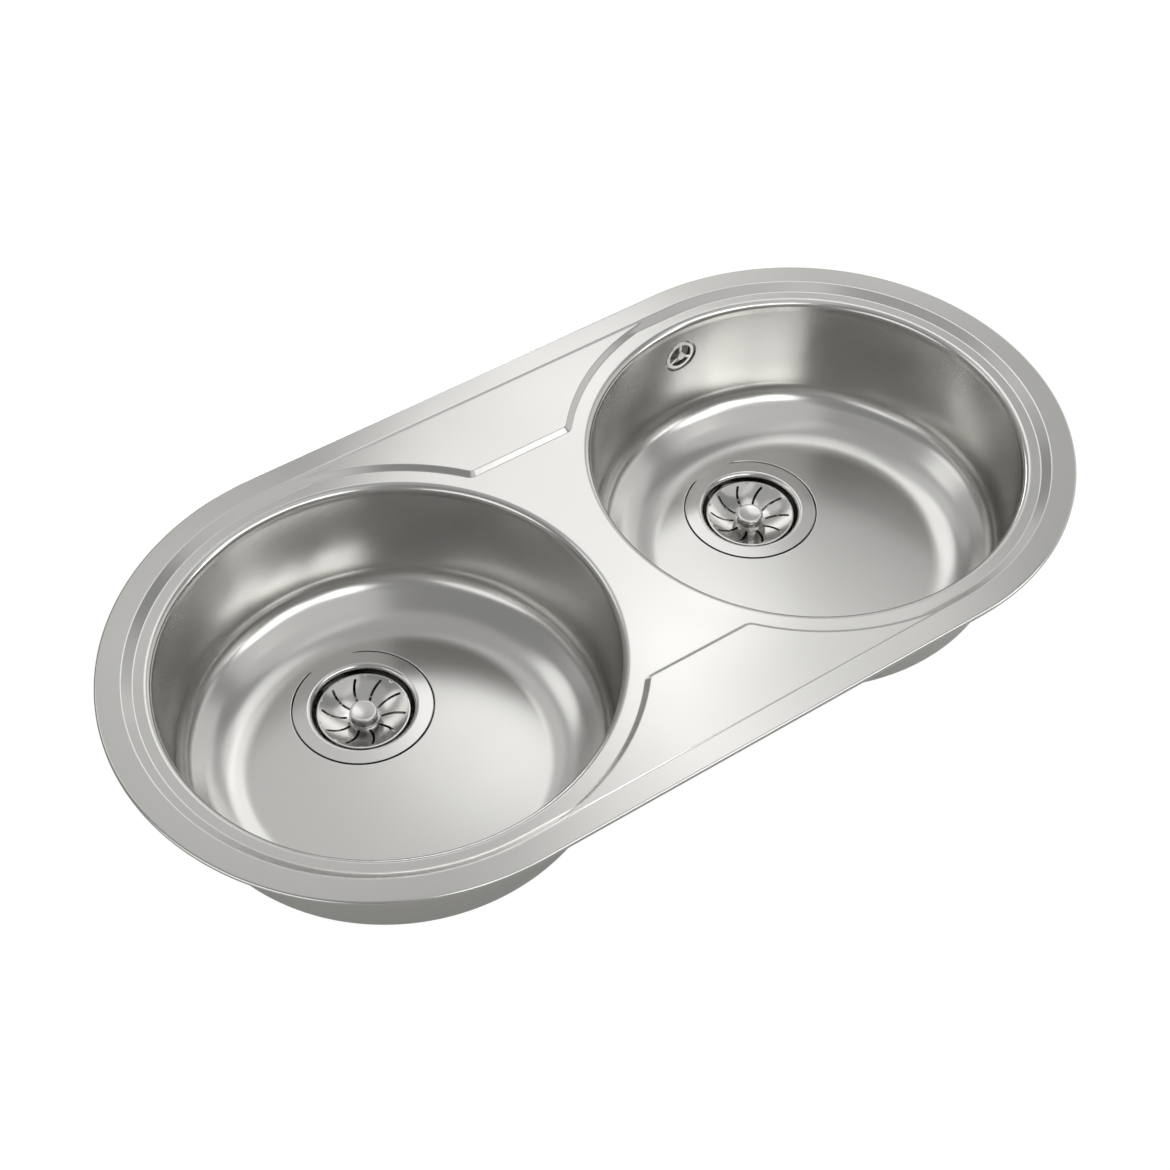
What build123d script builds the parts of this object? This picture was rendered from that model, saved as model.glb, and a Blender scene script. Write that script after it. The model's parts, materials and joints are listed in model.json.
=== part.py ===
from build123d import *
from math import atan, cos, hypot, radians, sin, sqrt, tan
import os

# Double bowl inset kitchen sink with its wastes, overflow and fixing clips. Millimetres.
# +X runs along the length, +Y towards the rear edge, +Z up.
# The origin is the centre of the worktop plane that the rim rests on.

# Pressed sheet
sheet = 0.8
width = 440.0
rim_height = 3.0
rim_round = 1.8
band = 20.0
band_round = 3.0

# Stepped recess inside the rim band
ledge_drop = 5.0
end_run = 8.0
end_foot_round = 3.0
platform_drop = 1.2
platform_run = 4.3
platform_round = 1.8
platform_width = 72.0
saddle_corner = 6.0

# Bowls
mouth_margin = 21.5
bowl_gap = 43.0
mouth_round = 6.0
collar = 12.0
wall_stub = 3.0
wall_draft = 3.5
wall_bend = 20.0
slope_drop = 25.4
foot_round = 20.0
slope_angle = 29.0
floor_round = 20.0
bowl_depth = 134.4

# Drain recess in each floor
drain_inset = 2.0
drain_margin = 0.56
recess_gap = 1.2
recess_depth = 2.6
recess_round = 0.6
drain_hole_gap = 2.6

# Waste flange, the steel cup that drops through the floor
flange_r = 57.4
flange_round = 0.5
cup_wall = 1.2
cup_r = 42.2
cup_mouth_round = 4.0
cup_depth = 34.0
cup_foot_round = 8.0
outlet_slots = 8
outlet_slot_r = 14.5
outlet_slot_length = 8.0
outlet_slot_width = 5.0
gasket_inset = 1.4
gasket_setback = 2.0
washer_thickness = 3.0

# Strainer basket, knob and plug
basket_clearance = 3.4
basket_drop = 5.5
basket_sheet = 1.0
basket_lip = 1.6
basket_skirt = 7.0
dish_depth = 9.0
hub_r = 13.0
slots = 10
slot_inner_r = 15.0
slot_margin = 3.2
slot_width = 2.2
slot_inner_turn = 7.0
slot_middle_turn = 7.0
slot_outer_turn = 0.0
cap_r = 11.5
cap_thickness = 3.2
cap_round = 1.2
cap_dimple = 0.8
neck_r = 7.5
neck_round = 1.6
knob_foot_r = 12.5
knob_foot = 2.0
stem_r = 3.0
pin_r = 2.4
pin_length = 10.0
plug_r = 18.5
plug_thickness = 4.0
plug_pocket = 1.5
plug_pocket_r = 9.0
seal_inner_r = 16.0
seal_r = 21.0
seal_thickness = 2.0
running_gap = 0.08
level_gap = 0.08

# Waste screw and its brass insert
screw_r = 4.0
screw_head_r = 8.0
screw_head_height = 3.0
screw_head_round = 0.8
screw_length = 24.0
socket_depth = 9.0
insert_r = 6.0
insert_length = 12.0

# Waste body and its outlet, the moulded trap connection under each floor
body_wall = 2.6
body_gap = 4.6
washer_width = 9.0
body_flange = 4.0
body_cup_depth = 42.0
body_cone_depth = 16.0
outlet_r = 23.9
outlet_length = 24.0
hub_drop = 4.0
hub_wall = 2.5
hub_length = 18.0
rib_thickness = 2.5
ribs = 3

# Hose spigots shared by the right waste body and the overflow elbow
spigot_r = 11.0
spigot_bore_r = 8.5
spigot_length = 24.0
spigot_collar_r = 12.8
spigot_collar = 1.5
spigot_drop = 24.0

# Overflow
overflow_depth = 40.0
dimple_r = 16.0
dimple_depth = 1.8
rosette_gap = 1.4
rosette_ring = 3.4
rosette_sheet = 1.4
rosette_hub_r = 4.6
rosette_spokes = 3
spoke_width = 2.6
overflow_hole_r = 11.4
overflow_gasket_margin = 1.0
overflow_gasket = 2.0
elbow_flange = 3.0
elbow_wall = 2.4
elbow_reach = 24.0
elbow_round = 2.0
elbow_boss_r = 4.6
elbow_boss = 12.0
overflow_screw_r = 2.5
overflow_screw_head_r = 4.4
overflow_screw_head = 1.6
overflow_screw_length = 20.0

# Rim seal and sound pads
seal_inset = 4.0
rim_seal_width = 7.0
pad_outer_r = 104.0
pad_margin = 7.0
pad_corner = 5.0
pad_thickness = 2.5

# Fixing clips
end_clip_inset = 24.0
side_clip_inset = 34.0
side_clip_x = 80.0
bracket_sheet = 1.2
bracket_width = 16.0
bracket_foot = 5.8
bracket_offset = 4.8
bracket_tab = 8.0
tab_depth = 12.0
clip_screw_r = 2.5
clip_screw_tip = 2.0
clip_collar_r = 4.2
clip_collar = 1.4
clip_head_r = 4.8
clip_head = 3.4
clip_head_round = 0.8
clip_reach = 22.0
end_float = 0.1
claw_boss_r = 6.0
claw_boss = 5.0
claw_length = 32.0
claw_width = 12.0
claw_tip_width = 9.0
claw_thickness = 3.0
claw_tooth = 4.0
claw_tooth_length = 3.0
claw_tooth_lean = 16.0

# Levels and centres that follow from the sizes above
basin_r = width / 2 - band
bowl_r = basin_r - mouth_margin
bowl_x = bowl_r + bowl_gap / 2
length = width + 2 * bowl_x
saddle_half = basin_r - platform_width
ledge_z = rim_height - ledge_drop
platform_z = rim_height - platform_drop
collar_z = rim_height - collar
floor_z = rim_height - bowl_depth
wall_run = tan(radians(wall_draft))
slope_rise = tan(radians(slope_angle))
stub_z = collar_z - wall_stub
wall_foot_z = floor_z + slope_drop
wall_foot_r = bowl_r - (stub_z - wall_foot_z) * wall_run
slope_foot_r = wall_foot_r - (wall_foot_z - floor_z) / slope_rise
floor_r = slope_foot_r - floor_round * tan(radians(slope_angle) / 2)
recess_r = flange_r + recess_gap
drain_hole_r = cup_r + cup_wall + drain_hole_gap
gasket_outer_r = flange_r - gasket_inset
gasket_inner_r = drain_hole_r + gasket_setback
drain_x = bowl_x - drain_inset
drain_back = floor_r - drain_margin - recess_r - recess_round
recess_z = floor_z - recess_depth
body_r = cup_r + cup_wall + body_gap
body_flange_r = body_r + washer_width
cup_floor_z = floor_z - cup_depth
washer_z = recess_z - sheet
body_top_z = washer_z - washer_thickness
body_cone_z = body_top_z - body_cup_depth
outlet_top_z = body_cone_z - body_cone_depth
outlet_z = outlet_top_z - outlet_length
overflow_z = rim_height - overflow_depth
overflow_wall_y = bowl_r - (stub_z - overflow_z) * wall_run
dimple_y = overflow_wall_y + dimple_depth
rosette_r = dimple_r - rosette_gap
overflow_gasket_r = dimple_r + overflow_gasket_margin
overflow_plane = Plane((bowl_x, dimple_y, overflow_z), x_dir=(1, 0, 0), z_dir=(0, 1, 0))

os.makedirs("parts", exist_ok=True)


def save(piece, name):
    """Label a finished piece and write its file."""
    piece.label = name
    export_step(piece, f"parts/{name}.step")


def grown(points, gap):
    """Corners of an open outline moved by gap to the left of its direction of travel."""
    sides = [(b - a).normalized() for a, b in zip(points, points[1:])]
    normals = [Vector(-side.Y, side.X) for side in sides]
    moved = [points[0] + normals[0] * gap]
    for corner, before, after in zip(points[1:-1], normals, normals[1:]):
        moved.append(corner + (before + after) * (gap / (1 + before.dot(after))))
    return moved + [points[-1] + normals[-1] * gap]


def round_edges(builder, radius):
    """Circular edges of one radius, lowest first."""
    circles = builder.edges().filter_by(GeomType.CIRCLE)
    return circles.filter_by(lambda edge: abs(edge.radius - radius) < running_gap).sort_by(Axis.Z)


def slope_shift(run, drop, gap):
    """How far the corners of a slope move sideways when its sheet face moves by gap."""
    return gap * tan(atan(drop / run) / 2)


# Deck: one pressed sheet, drawn as the face mould less the back mould.

def deck_mould(gap):
    """Everything under the deck's face, or under its back when gap is the sheet."""
    end_shift = slope_shift(end_run, ledge_drop, gap)
    land_shift = slope_shift(platform_run, ledge_drop - platform_drop, gap)
    low, middle, high = ledge_z - gap, platform_z - gap, rim_height - gap
    inset = 2 * (band - end_shift)

    with BuildPart() as well:
        for level, run in ((high, 0), (low, 2 * end_run)):
            with BuildSketch(Plane.XY.offset(level)):
                SlotOverall(length - inset - run, width - inset - run)
        loft(ruled=True)
        fillet(well.faces().sort_by(Axis.Z)[0].edges(), end_foot_round + gap)

    with BuildPart() as lands:
        for level, run in ((middle, 0), (low, platform_run)):
            half = saddle_half + land_shift - run
            with BuildSketch(Plane.XY.offset(level)) as plan:
                with Locations((-bowl_x, 0), (bowl_x, 0)):
                    Circle(basin_r + land_shift - run)
                Rectangle(bowl_x, 2 * half)
                fillet(plan.vertices(), saddle_corner)
        loft(ruled=True)
        fillet(lands.faces().sort_by(Axis.Z)[0].edges(), platform_round + gap)
        with BuildSketch(Plane.XY.offset(middle)):
            SlotOverall(length, width)
        extrude(amount=ledge_drop)
        rims = lands.edges().filter_by(lambda edge: edge.bounding_box().size.Z < level_gap)
        rims = rims.filter_by(lambda edge: abs(edge.center().Z - middle) < level_gap)
        reach = width / 2 - sheet
        fillet(rims.filter_by(lambda edge: edge.bounding_box().max.Y < reach
                              and edge.bounding_box().min.Y > -reach), platform_round - gap)

    recess = well.part & lands.part
    with BuildPart() as mould:
        with BuildSketch(Plane.XY.offset(collar_z - gap)):
            SlotOverall(length - 2 * gap, width - 2 * gap)
        extrude(amount=collar)
        fillet(mould.faces().sort_by(Axis.Z)[-1].edges(), rim_round - gap)
        add(recess, mode=Mode.SUBTRACT)
        brink = mould.faces().sort_by(Axis.Z)[-1].inner_wires()[0]
        fillet(brink.edges(), band_round - gap)
        with BuildSketch(Plane.XY.offset(collar_z - gap)):
            with Locations((-bowl_x, 0), (bowl_x, 0)):
                Circle(bowl_r + gap)
        extrude(amount=2 * collar, mode=Mode.SUBTRACT)
        fillet(round_edges(mould, bowl_r + gap).group_by(Axis.Z)[-1], mouth_round - gap)
    return mould.part


deck_face = deck_mould(0)
deck_back = deck_mould(sheet)
with BuildPart() as deck:
    add(deck_face)
    add(deck_back, mode=Mode.SUBTRACT)
    with BuildSketch(Plane.XY):
        SlotOverall(length + band, width + band)
        SlotOverall(length - 2 * band, width - 2 * band, mode=Mode.SUBTRACT)
    extrude(amount=-collar, mode=Mode.SUBTRACT)
save(deck.part, "deck")

# Bowls: deep drawn, butt welded under the deck's collars, with a sunken ring for the waste.


def drain_plane(side, turn=0):
    """Upright plane through one drain's axis, its local X turned about that axis."""
    across = (cos(radians(turn)), sin(radians(turn)), 0)
    facing = (sin(radians(turn)), -cos(radians(turn)), 0)
    return Plane((side * drain_x, drain_back, 0), x_dir=across, z_dir=facing)


def drain_axis(side):
    """Upright axis of one drain."""
    return Axis((side * drain_x, drain_back, 0), (0, 0, 1))


def bowl_fill(side, gap):
    """The room inside a bowl, or the room with its wall when gap is the sheet."""
    middle = side * bowl_x
    line = grown([Vector(bowl_r, collar_z), Vector(bowl_r, stub_z), Vector(wall_foot_r, wall_foot_z),
                  Vector(slope_foot_r, floor_z), Vector(0, floor_z)], gap)
    with BuildPart() as fill:
        with BuildSketch(Plane.XZ):
            with BuildLine():
                FilletPolyline(*[(middle + corner.X, corner.Y) for corner in line],
                               radius=[wall_bend + gap, foot_round + gap, floor_round + gap])
                Polyline((middle, floor_z - gap), (middle, collar_z), (middle + bowl_r + gap, collar_z))
            make_face()
        revolve(axis=Axis((middle, 0, 0), (0, 0, 1)))
    return fill.part


def make_bowl(side, name, overflow):
    """One bowl with its waste recess, and the overflow's dimple where it has one."""
    room = bowl_fill(side, 0)
    outside = bowl_fill(side, sheet)
    drain = (side * drain_x, drain_back)
    with BuildPart() as bowl:
        add(outside)
        with BuildSketch(Plane.XY.offset(floor_z)):
            with Locations(drain):
                Circle(recess_r + sheet)
        extrude(amount=-recess_depth - sheet)
        if overflow:
            with BuildSketch(overflow_plane.offset(sheet)):
                Circle(dimple_r + sheet)
            extrude(amount=-dimple_depth - mouth_round)
        add(room, mode=Mode.SUBTRACT)
        with BuildSketch(Plane.XY.offset(recess_z)):
            with Locations(drain):
                Circle(recess_r)
        extrude(amount=recess_depth + sheet, mode=Mode.SUBTRACT)
        fillet(round_edges(bowl, recess_r)[-1], recess_round)
        with BuildSketch(Plane.XY.offset(recess_z)):
            with Locations(drain):
                Circle(drain_hole_r)
        extrude(amount=-2 * sheet, mode=Mode.SUBTRACT)
        if overflow:
            with BuildSketch(overflow_plane):
                Circle(dimple_r)
            extrude(amount=-dimple_depth - mouth_round, mode=Mode.SUBTRACT)
            with BuildSketch(overflow_plane):
                Circle(overflow_hole_r)
            extrude(amount=2 * sheet, mode=Mode.SUBTRACT)
    save(bowl.part, name)


make_bowl(-1, "left_bowl", overflow=False)
make_bowl(1, "right_bowl", overflow=True)

# Rim seal: a strip inside the rim's lip that lies on the worktop.

with BuildPart() as rim_seal:
    with BuildSketch(Plane.XY):
        SlotOverall(length - 2 * seal_inset, width - 2 * seal_inset)
        hollow = 2 * (seal_inset + rim_seal_width)
        SlotOverall(length - hollow, width - hollow, mode=Mode.SUBTRACT)
    extrude(amount=rim_height - sheet)
save(rim_seal.part, "rim_seal")


# Wastes: flange cup, gasket, washer, moulded body and outlet, centre screw and its brass insert.

def ring(side, inner, outer, low, high):
    """A flat ring round one drain's axis."""
    with BuildPart() as band_ring:
        with BuildSketch(Plane.XY.offset(low)):
            with Locations((side * drain_x, drain_back)):
                Circle(outer)
                Circle(inner, mode=Mode.SUBTRACT)
        extrude(amount=high - low)
    return band_ring.part


def make_flange(side, name):
    """Steel cup whose flange lies flush in the floor's recess."""
    face = [Vector(flange_r, floor_z), Vector(cup_r, floor_z), Vector(cup_r, cup_floor_z),
            Vector(0, cup_floor_z)]
    back = grown(face, cup_wall)
    with BuildPart() as flange:
        with BuildSketch(drain_plane(side)):
            with BuildLine():
                FilletPolyline(*[(corner.X, corner.Y) for corner in face],
                               radius=[cup_mouth_round, cup_foot_round])
                FilletPolyline(*[(corner.X, corner.Y) for corner in back],
                               radius=[cup_mouth_round - cup_wall, cup_foot_round + cup_wall])
                Line((flange_r, floor_z), (flange_r, floor_z - cup_wall))
                Line((0, cup_floor_z), (0, cup_floor_z - cup_wall))
            make_face()
        revolve(axis=drain_axis(side))
        fillet(round_edges(flange, flange_r)[-1], flange_round)
        with BuildSketch(Plane.XY.offset(cup_floor_z)):
            with Locations((side * drain_x, drain_back)):
                Circle(screw_r + running_gap)
                with PolarLocations(outlet_slot_r, outlet_slots):
                    SlotOverall(outlet_slot_length, outlet_slot_width)
        extrude(amount=-cup_wall, mode=Mode.SUBTRACT)
    save(flange.part, name)


bore_r = outlet_r - body_wall
outlet_seat_z = outlet_top_z - slope_shift(body_cone_depth, body_r - bore_r, body_wall)


def make_waste_body(side, name, overflow):
    """Moulded cup that clamps the floor from below, with a cone that ends in the outlet's seat."""
    hub_r_outer = insert_r + hub_wall
    hub_top_z = cup_floor_z - cup_wall - hub_drop
    inside = [Vector(body_r, body_top_z), Vector(body_r, body_cone_z), Vector(bore_r, outlet_top_z),
              Vector(bore_r, outlet_seat_z)]
    outside = grown(inside, body_wall)[:-1]
    with BuildPart() as body:
        with BuildSketch(drain_plane(side)):
            with BuildLine():
                Polyline(*[(corner.X, corner.Y) for corner in inside])
                Polyline(*[(corner.X, corner.Y) for corner in outside])
                Line((body_r, body_top_z), (body_r + body_wall, body_top_z))
                Line((bore_r, outlet_seat_z), (outside[-1].X, outside[-1].Y))
            make_face()
        revolve(axis=drain_axis(side))
        with BuildSketch(Plane.XY.offset(body_top_z)):
            with Locations((side * drain_x, drain_back)):
                Circle(body_flange_r)
                Circle(body_r, mode=Mode.SUBTRACT)
        extrude(amount=-body_flange)
        with BuildSketch(Plane.XY.offset(hub_top_z)):
            with Locations((side * drain_x, drain_back)):
                Circle(hub_r_outer)
        extrude(amount=-hub_length)
        for count in range(ribs):
            with BuildSketch(drain_plane(side, count * 360 / ribs)):
                Polygon((0, hub_top_z), (body_r + body_wall / 2, hub_top_z),
                        (body_r + body_wall / 2, body_cone_z), (bore_r + body_wall / 2, outlet_top_z),
                        (bore_r + body_wall / 2, hub_top_z - hub_length), (0, hub_top_z - hub_length),
                        align=None)
            extrude(amount=rib_thickness / 2, both=True)
        with BuildSketch(Plane.XY.offset(hub_top_z)):
            with Locations((side * drain_x, drain_back)):
                Circle(insert_r)
        extrude(amount=-insert_length, mode=Mode.SUBTRACT)
        with BuildSketch(Plane.XY.offset(hub_top_z)):
            with Locations((side * drain_x, drain_back)):
                Circle(screw_r + running_gap)
        extrude(amount=-hub_length, mode=Mode.SUBTRACT)
        if overflow:
            inlet = Plane((side * drain_x, drain_back + body_r, body_top_z - spigot_drop),
                          x_dir=(1, 0, 0), z_dir=(0, 1, 0))
            collar_reach = body_wall + spigot_collar
            for radius, reach in ((spigot_collar_r, collar_reach), (spigot_r, collar_reach + spigot_length)):
                with BuildSketch(inlet):
                    Circle(radius)
                extrude(amount=reach)
            with BuildSketch(inlet.offset(-body_wall)):
                Circle(spigot_bore_r)
            extrude(amount=body_wall + collar_reach + spigot_length, mode=Mode.SUBTRACT)
    save(body.part, name)


def make_waste_screw(side, name):
    """Headed screw through the cup, with a blind socket for the plug's pin."""
    with BuildPart() as screw:
        for level, radius, rise in ((cup_floor_z, screw_head_r, screw_head_height),
                                    (cup_floor_z, screw_r, -screw_length)):
            with BuildSketch(Plane.XY.offset(level)):
                with Locations((side * drain_x, drain_back)):
                    Circle(radius)
            extrude(amount=rise)
        fillet(screw.faces().sort_by(Axis.Z)[-1].edges(), screw_head_round)
        with BuildSketch(Plane.XY.offset(cup_floor_z + screw_head_height)):
            with Locations((side * drain_x, drain_back)):
                Circle(pin_r + running_gap)
        extrude(amount=-screw_head_height - socket_depth, mode=Mode.SUBTRACT)
    save(screw.part, name)


# Strainers: slotted basket, knob, stem, plug and plug seal, which lift out together.

basket_r = cup_r - basket_clearance
basket_z = floor_z - basket_drop
dish_r = basket_r - basket_lip
slot_outer_r = dish_r - slot_margin
hub_z = basket_z - dish_depth
dish_centre_z = basket_z + (dish_r ** 2 - hub_r ** 2 - dish_depth ** 2) / (2 * dish_depth)
dish_ball_r = hypot(dish_r, dish_centre_z - basket_z)
plug_z = cup_floor_z + seal_thickness


def dish_point(radius, gap):
    """Point on the dish's face, or on its back when gap is the basket's sheet."""
    return (radius, dish_centre_z - sqrt((dish_ball_r + gap) ** 2 - radius ** 2))


def polar(radius, turn):
    """Plan point at a radius and an angle in degrees."""
    return (radius * cos(radians(turn)), radius * sin(radians(turn)))


def make_basket(side, name):
    """Dished steel strainer with swirled slots and a short skirt."""
    half_way = (dish_r + hub_r) / 2
    skirt_z = basket_z - basket_skirt
    inner_r = basket_r - basket_sheet
    with BuildPart() as basket:
        with BuildSketch(drain_plane(side)):
            with BuildLine():
                Polyline((stem_r + running_gap, hub_z), dish_point(hub_r, 0))
                ThreePointArc(dish_point(hub_r, 0), dish_point(half_way, 0), (dish_r, basket_z))
                Polyline((dish_r, basket_z), (basket_r, basket_z), (basket_r, skirt_z),
                         (inner_r, skirt_z), (inner_r, basket_z - basket_sheet),
                         dish_point(inner_r - basket_sheet, basket_sheet))
                ThreePointArc(dish_point(inner_r - basket_sheet, basket_sheet),
                              dish_point(half_way, basket_sheet), dish_point(hub_r, basket_sheet))
                Polyline(dish_point(hub_r, basket_sheet), (stem_r + running_gap, hub_z - basket_sheet),
                         (stem_r + running_gap, hub_z))
            make_face()
        revolve(axis=drain_axis(side))
        with BuildSketch(Plane.XY.offset(basket_z)) as swirl:
            with BuildLine(mode=Mode.PRIVATE) as spine:
                ThreePointArc(polar(slot_inner_r, slot_inner_turn),
                              polar((slot_inner_r + slot_outer_r) / 2, slot_middle_turn),
                              polar(slot_outer_r, slot_outer_turn))
            with Locations((side * drain_x, drain_back)):
                with PolarLocations(0, slots):
                    SlotArc(spine.edges()[0], slot_width)
        extrude(amount=-dish_depth - 2 * basket_sheet, mode=Mode.SUBTRACT)
    save(basket.part, name)


def make_knob(side, name):
    """Turned mushroom knob with a shallow cone in its cap."""
    with BuildPart() as knob:
        with BuildSketch(drain_plane(side)):
            with BuildLine():
                Polyline((0, hub_z), (knob_foot_r, hub_z), (knob_foot_r, hub_z + knob_foot))
                FilletPolyline((knob_foot_r, hub_z + knob_foot), (neck_r, hub_z + knob_foot),
                               (neck_r, basket_z - cap_thickness), (cap_r, basket_z - cap_thickness),
                               (cap_r, basket_z), (cap_r - 2 * cap_round, basket_z),
                               radius=[neck_round, neck_round, cap_round, cap_round])
                Polyline((cap_r - 2 * cap_round, basket_z), (0, basket_z - cap_dimple), (0, hub_z))
            make_face()
        revolve(axis=drain_axis(side))
    save(knob.part, name)


def make_stem(side, name):
    """Round stem from the knob to the plug, ending in the pin that centres it."""
    with BuildPart() as stem:
        for level, radius, drop in ((hub_z, stem_r, hub_z - plug_z - plug_thickness),
                                    (plug_z + plug_thickness, pin_r, plug_thickness + pin_length)):
            with BuildSketch(Plane.XY.offset(level)):
                with Locations((side * drain_x, drain_back)):
                    Circle(radius)
            extrude(amount=-drop)
    save(stem.part, name)


def make_plug(side, name):
    """Plug disc with a pocket below that clears the waste screw's head."""
    with BuildPart() as plug:
        with BuildSketch(Plane.XY.offset(plug_z)):
            with Locations((side * drain_x, drain_back)):
                Circle(plug_r)
                Circle(pin_r + running_gap, mode=Mode.SUBTRACT)
        extrude(amount=plug_thickness)
        with BuildSketch(Plane.XY.offset(plug_z)):
            with Locations((side * drain_x, drain_back)):
                Circle(plug_pocket_r)
        extrude(amount=plug_pocket, mode=Mode.SUBTRACT)
    save(plug.part, name)


for side, hand in ((-1, "left"), (1, "right")):
    make_flange(side, f"{hand}_waste_flange")
    save(ring(side, gasket_inner_r, gasket_outer_r, recess_z, floor_z - cup_wall), f"{hand}_flange_gasket")
    save(ring(side, body_r, body_flange_r, body_top_z, washer_z), f"{hand}_waste_washer")
    make_waste_body(side, f"{hand}_waste_body", overflow=side > 0)
    save(ring(side, bore_r, outlet_r, outlet_z, outlet_seat_z), f"{hand}_waste_outlet")
    make_waste_screw(side, f"{hand}_waste_screw")
    insert_z = cup_floor_z - cup_wall - hub_drop
    save(ring(side, screw_r + running_gap, insert_r, insert_z - insert_length, insert_z),
         f"{hand}_waste_insert")
    make_basket(side, f"{hand}_basket")
    make_knob(side, f"{hand}_knob")
    make_stem(side, f"{hand}_stem")
    make_plug(side, f"{hand}_plug")
    save(ring(side, seal_inner_r, seal_r, cup_floor_z, plug_z), f"{hand}_plug_seal")

    # Sound pad: a crescent stuck under the floor, clear of the waste.
    with BuildPart() as sound_pad:
        with BuildSketch(Plane.XY.offset(floor_z - sheet)) as crescent:
            with Locations((side * bowl_x, 0)):
                Circle(pad_outer_r)
            with Locations((side * drain_x, drain_back)):
                Circle(recess_r + sheet + pad_margin, mode=Mode.SUBTRACT)
            fillet(crescent.vertices(), pad_corner)
        extrude(amount=-pad_thickness)
    save(sound_pad.part, f"{hand}_sound_pad")

# Overflow: rosette, screw, gasket and hose elbow on the right bowl's rear wall.

with BuildPart() as rosette:
    with BuildSketch(overflow_plane):
        Circle(rosette_r)
        Circle(rosette_r - rosette_ring, mode=Mode.SUBTRACT)
        Circle(rosette_hub_r)
        for count in range(rosette_spokes):
            with Locations(Rotation(0, 0, 270 + count * 360 / rosette_spokes)):
                Rectangle(rosette_r - rosette_ring / 2, spoke_width, align=(Align.MIN, Align.CENTER))
    extrude(amount=-rosette_sheet)
    front = rosette.faces().sort_by(Axis.Y)[0]
    fillet(front.outer_wire().edges(), rosette_sheet / 2)
    with BuildSketch(overflow_plane):
        Circle(overflow_screw_r + running_gap)
    extrude(amount=-rosette_sheet, mode=Mode.SUBTRACT)
save(rosette.part, "overflow_rosette")

with BuildPart() as overflow_screw:
    with BuildSketch(overflow_plane.offset(-rosette_sheet)):
        Circle(overflow_screw_head_r)
    extrude(amount=-overflow_screw_head)
    fillet(overflow_screw.faces().sort_by(Axis.Y)[0].edges(), overflow_screw_head / 2)
    with BuildSketch(overflow_plane.offset(-rosette_sheet)):
        Circle(overflow_screw_r)
    extrude(amount=overflow_screw_length)
save(overflow_screw.part, "overflow_screw")

with BuildPart() as overflow_gasket_ring:
    with BuildSketch(overflow_plane.offset(sheet)):
        Circle(overflow_gasket_r)
        Circle(overflow_hole_r, mode=Mode.SUBTRACT)
    extrude(amount=overflow_gasket)
save(overflow_gasket_ring.part, "overflow_gasket")

elbow_plane = overflow_plane.offset(sheet + overflow_gasket)
spigot_y = elbow_plane.origin.Y + elbow_reach - spigot_r
with BuildPart() as elbow:
    with BuildSketch(elbow_plane):
        Circle(overflow_gasket_r)
    extrude(amount=elbow_flange)
    with BuildSketch(elbow_plane):
        Circle(overflow_hole_r + elbow_wall)
    extrude(amount=elbow_reach)
    fillet(elbow.faces().sort_by(Axis.Y)[-1].edges(), elbow_round)
    for radius, reach in ((spigot_collar_r, 0), (spigot_r, spigot_length)):
        with BuildSketch(Plane.XY.offset(overflow_z)):
            with Locations((bowl_x, spigot_y)):
                Circle(radius)
        extrude(amount=-overflow_gasket_r - reach)
    with BuildSketch(elbow_plane):
        Circle(overflow_hole_r)
    extrude(amount=elbow_reach - elbow_wall, mode=Mode.SUBTRACT)
    with BuildSketch(Plane.XY.offset(overflow_z)):
        with Locations((bowl_x, spigot_y)):
            Circle(spigot_bore_r)
    extrude(amount=-overflow_gasket_r - spigot_length, mode=Mode.SUBTRACT)
    with BuildSketch(elbow_plane.offset(elbow_reach - elbow_wall)):
        Circle(elbow_boss_r)
    extrude(amount=-elbow_boss)
    with BuildSketch(elbow_plane):
        Circle(overflow_screw_r + running_gap)
    extrude(amount=elbow_reach - elbow_wall, mode=Mode.SUBTRACT)
save(elbow.part, "overflow_elbow")

# Fixing clips: welded brackets, captive screws and swinging claws, arms tucked along the rim at rest.

clip_spots = [(Plane((side * (length / 2 - end_clip_inset), 0, 0), x_dir=(side, 0, 0)), rim_height - sheet)
              for side in (-1, 1)]
clip_spots += [(Plane((side * side_clip_x, face * (width / 2 - side_clip_inset), 0), x_dir=(0, face, 0)),
                platform_z - sheet) for face in (-1, 1) for side in (-1, 1)]
tab_low = -tab_depth - bracket_sheet
claw_z = tab_low - clip_reach + end_float

with BuildPart() as clip_brackets:
    for spot, seat in clip_spots:
        with BuildSketch(spot.offset(seat - bracket_sheet)):
            with Locations((bracket_offset + bracket_foot / 2, 0)):
                Rectangle(bracket_foot, bracket_width)
        extrude(amount=bracket_sheet)
        with BuildSketch(spot.offset(-tab_depth - bracket_sheet)):
            with Locations((bracket_offset + bracket_sheet / 2, 0)):
                Rectangle(bracket_sheet, bracket_width)
        extrude(amount=tab_depth + seat)
        with BuildSketch(spot.offset(-tab_depth - bracket_sheet)):
            with Locations((bracket_offset, 0)):
                Rectangle(bracket_offset + bracket_tab, bracket_width, align=(Align.MAX, Align.CENTER))
            Circle(clip_screw_r + running_gap, mode=Mode.SUBTRACT)
        extrude(amount=bracket_sheet)
save(clip_brackets.part, "clip_brackets")


def make_clip_screw(spot, name):
    """Screw held in the bracket's tab by a collar above and below, its head at the bottom."""
    clip_rise = clip_reach + bracket_sheet + clip_collar + clip_screw_tip
    with BuildPart() as screw:
        for level, radius, rise in (
                (tab_low - clip_reach, clip_screw_r, clip_rise),
                (-tab_depth + end_float, clip_collar_r, clip_collar),
                (tab_low - end_float, clip_collar_r, -clip_collar),
                (tab_low - clip_reach, clip_head_r, -clip_head)):
            with BuildSketch(spot.offset(level)):
                Circle(radius)
            extrude(amount=rise)
        fillet(screw.faces().sort_by(Axis.Z)[0].edges(), clip_head_round)
    save(screw.part, name)


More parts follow.
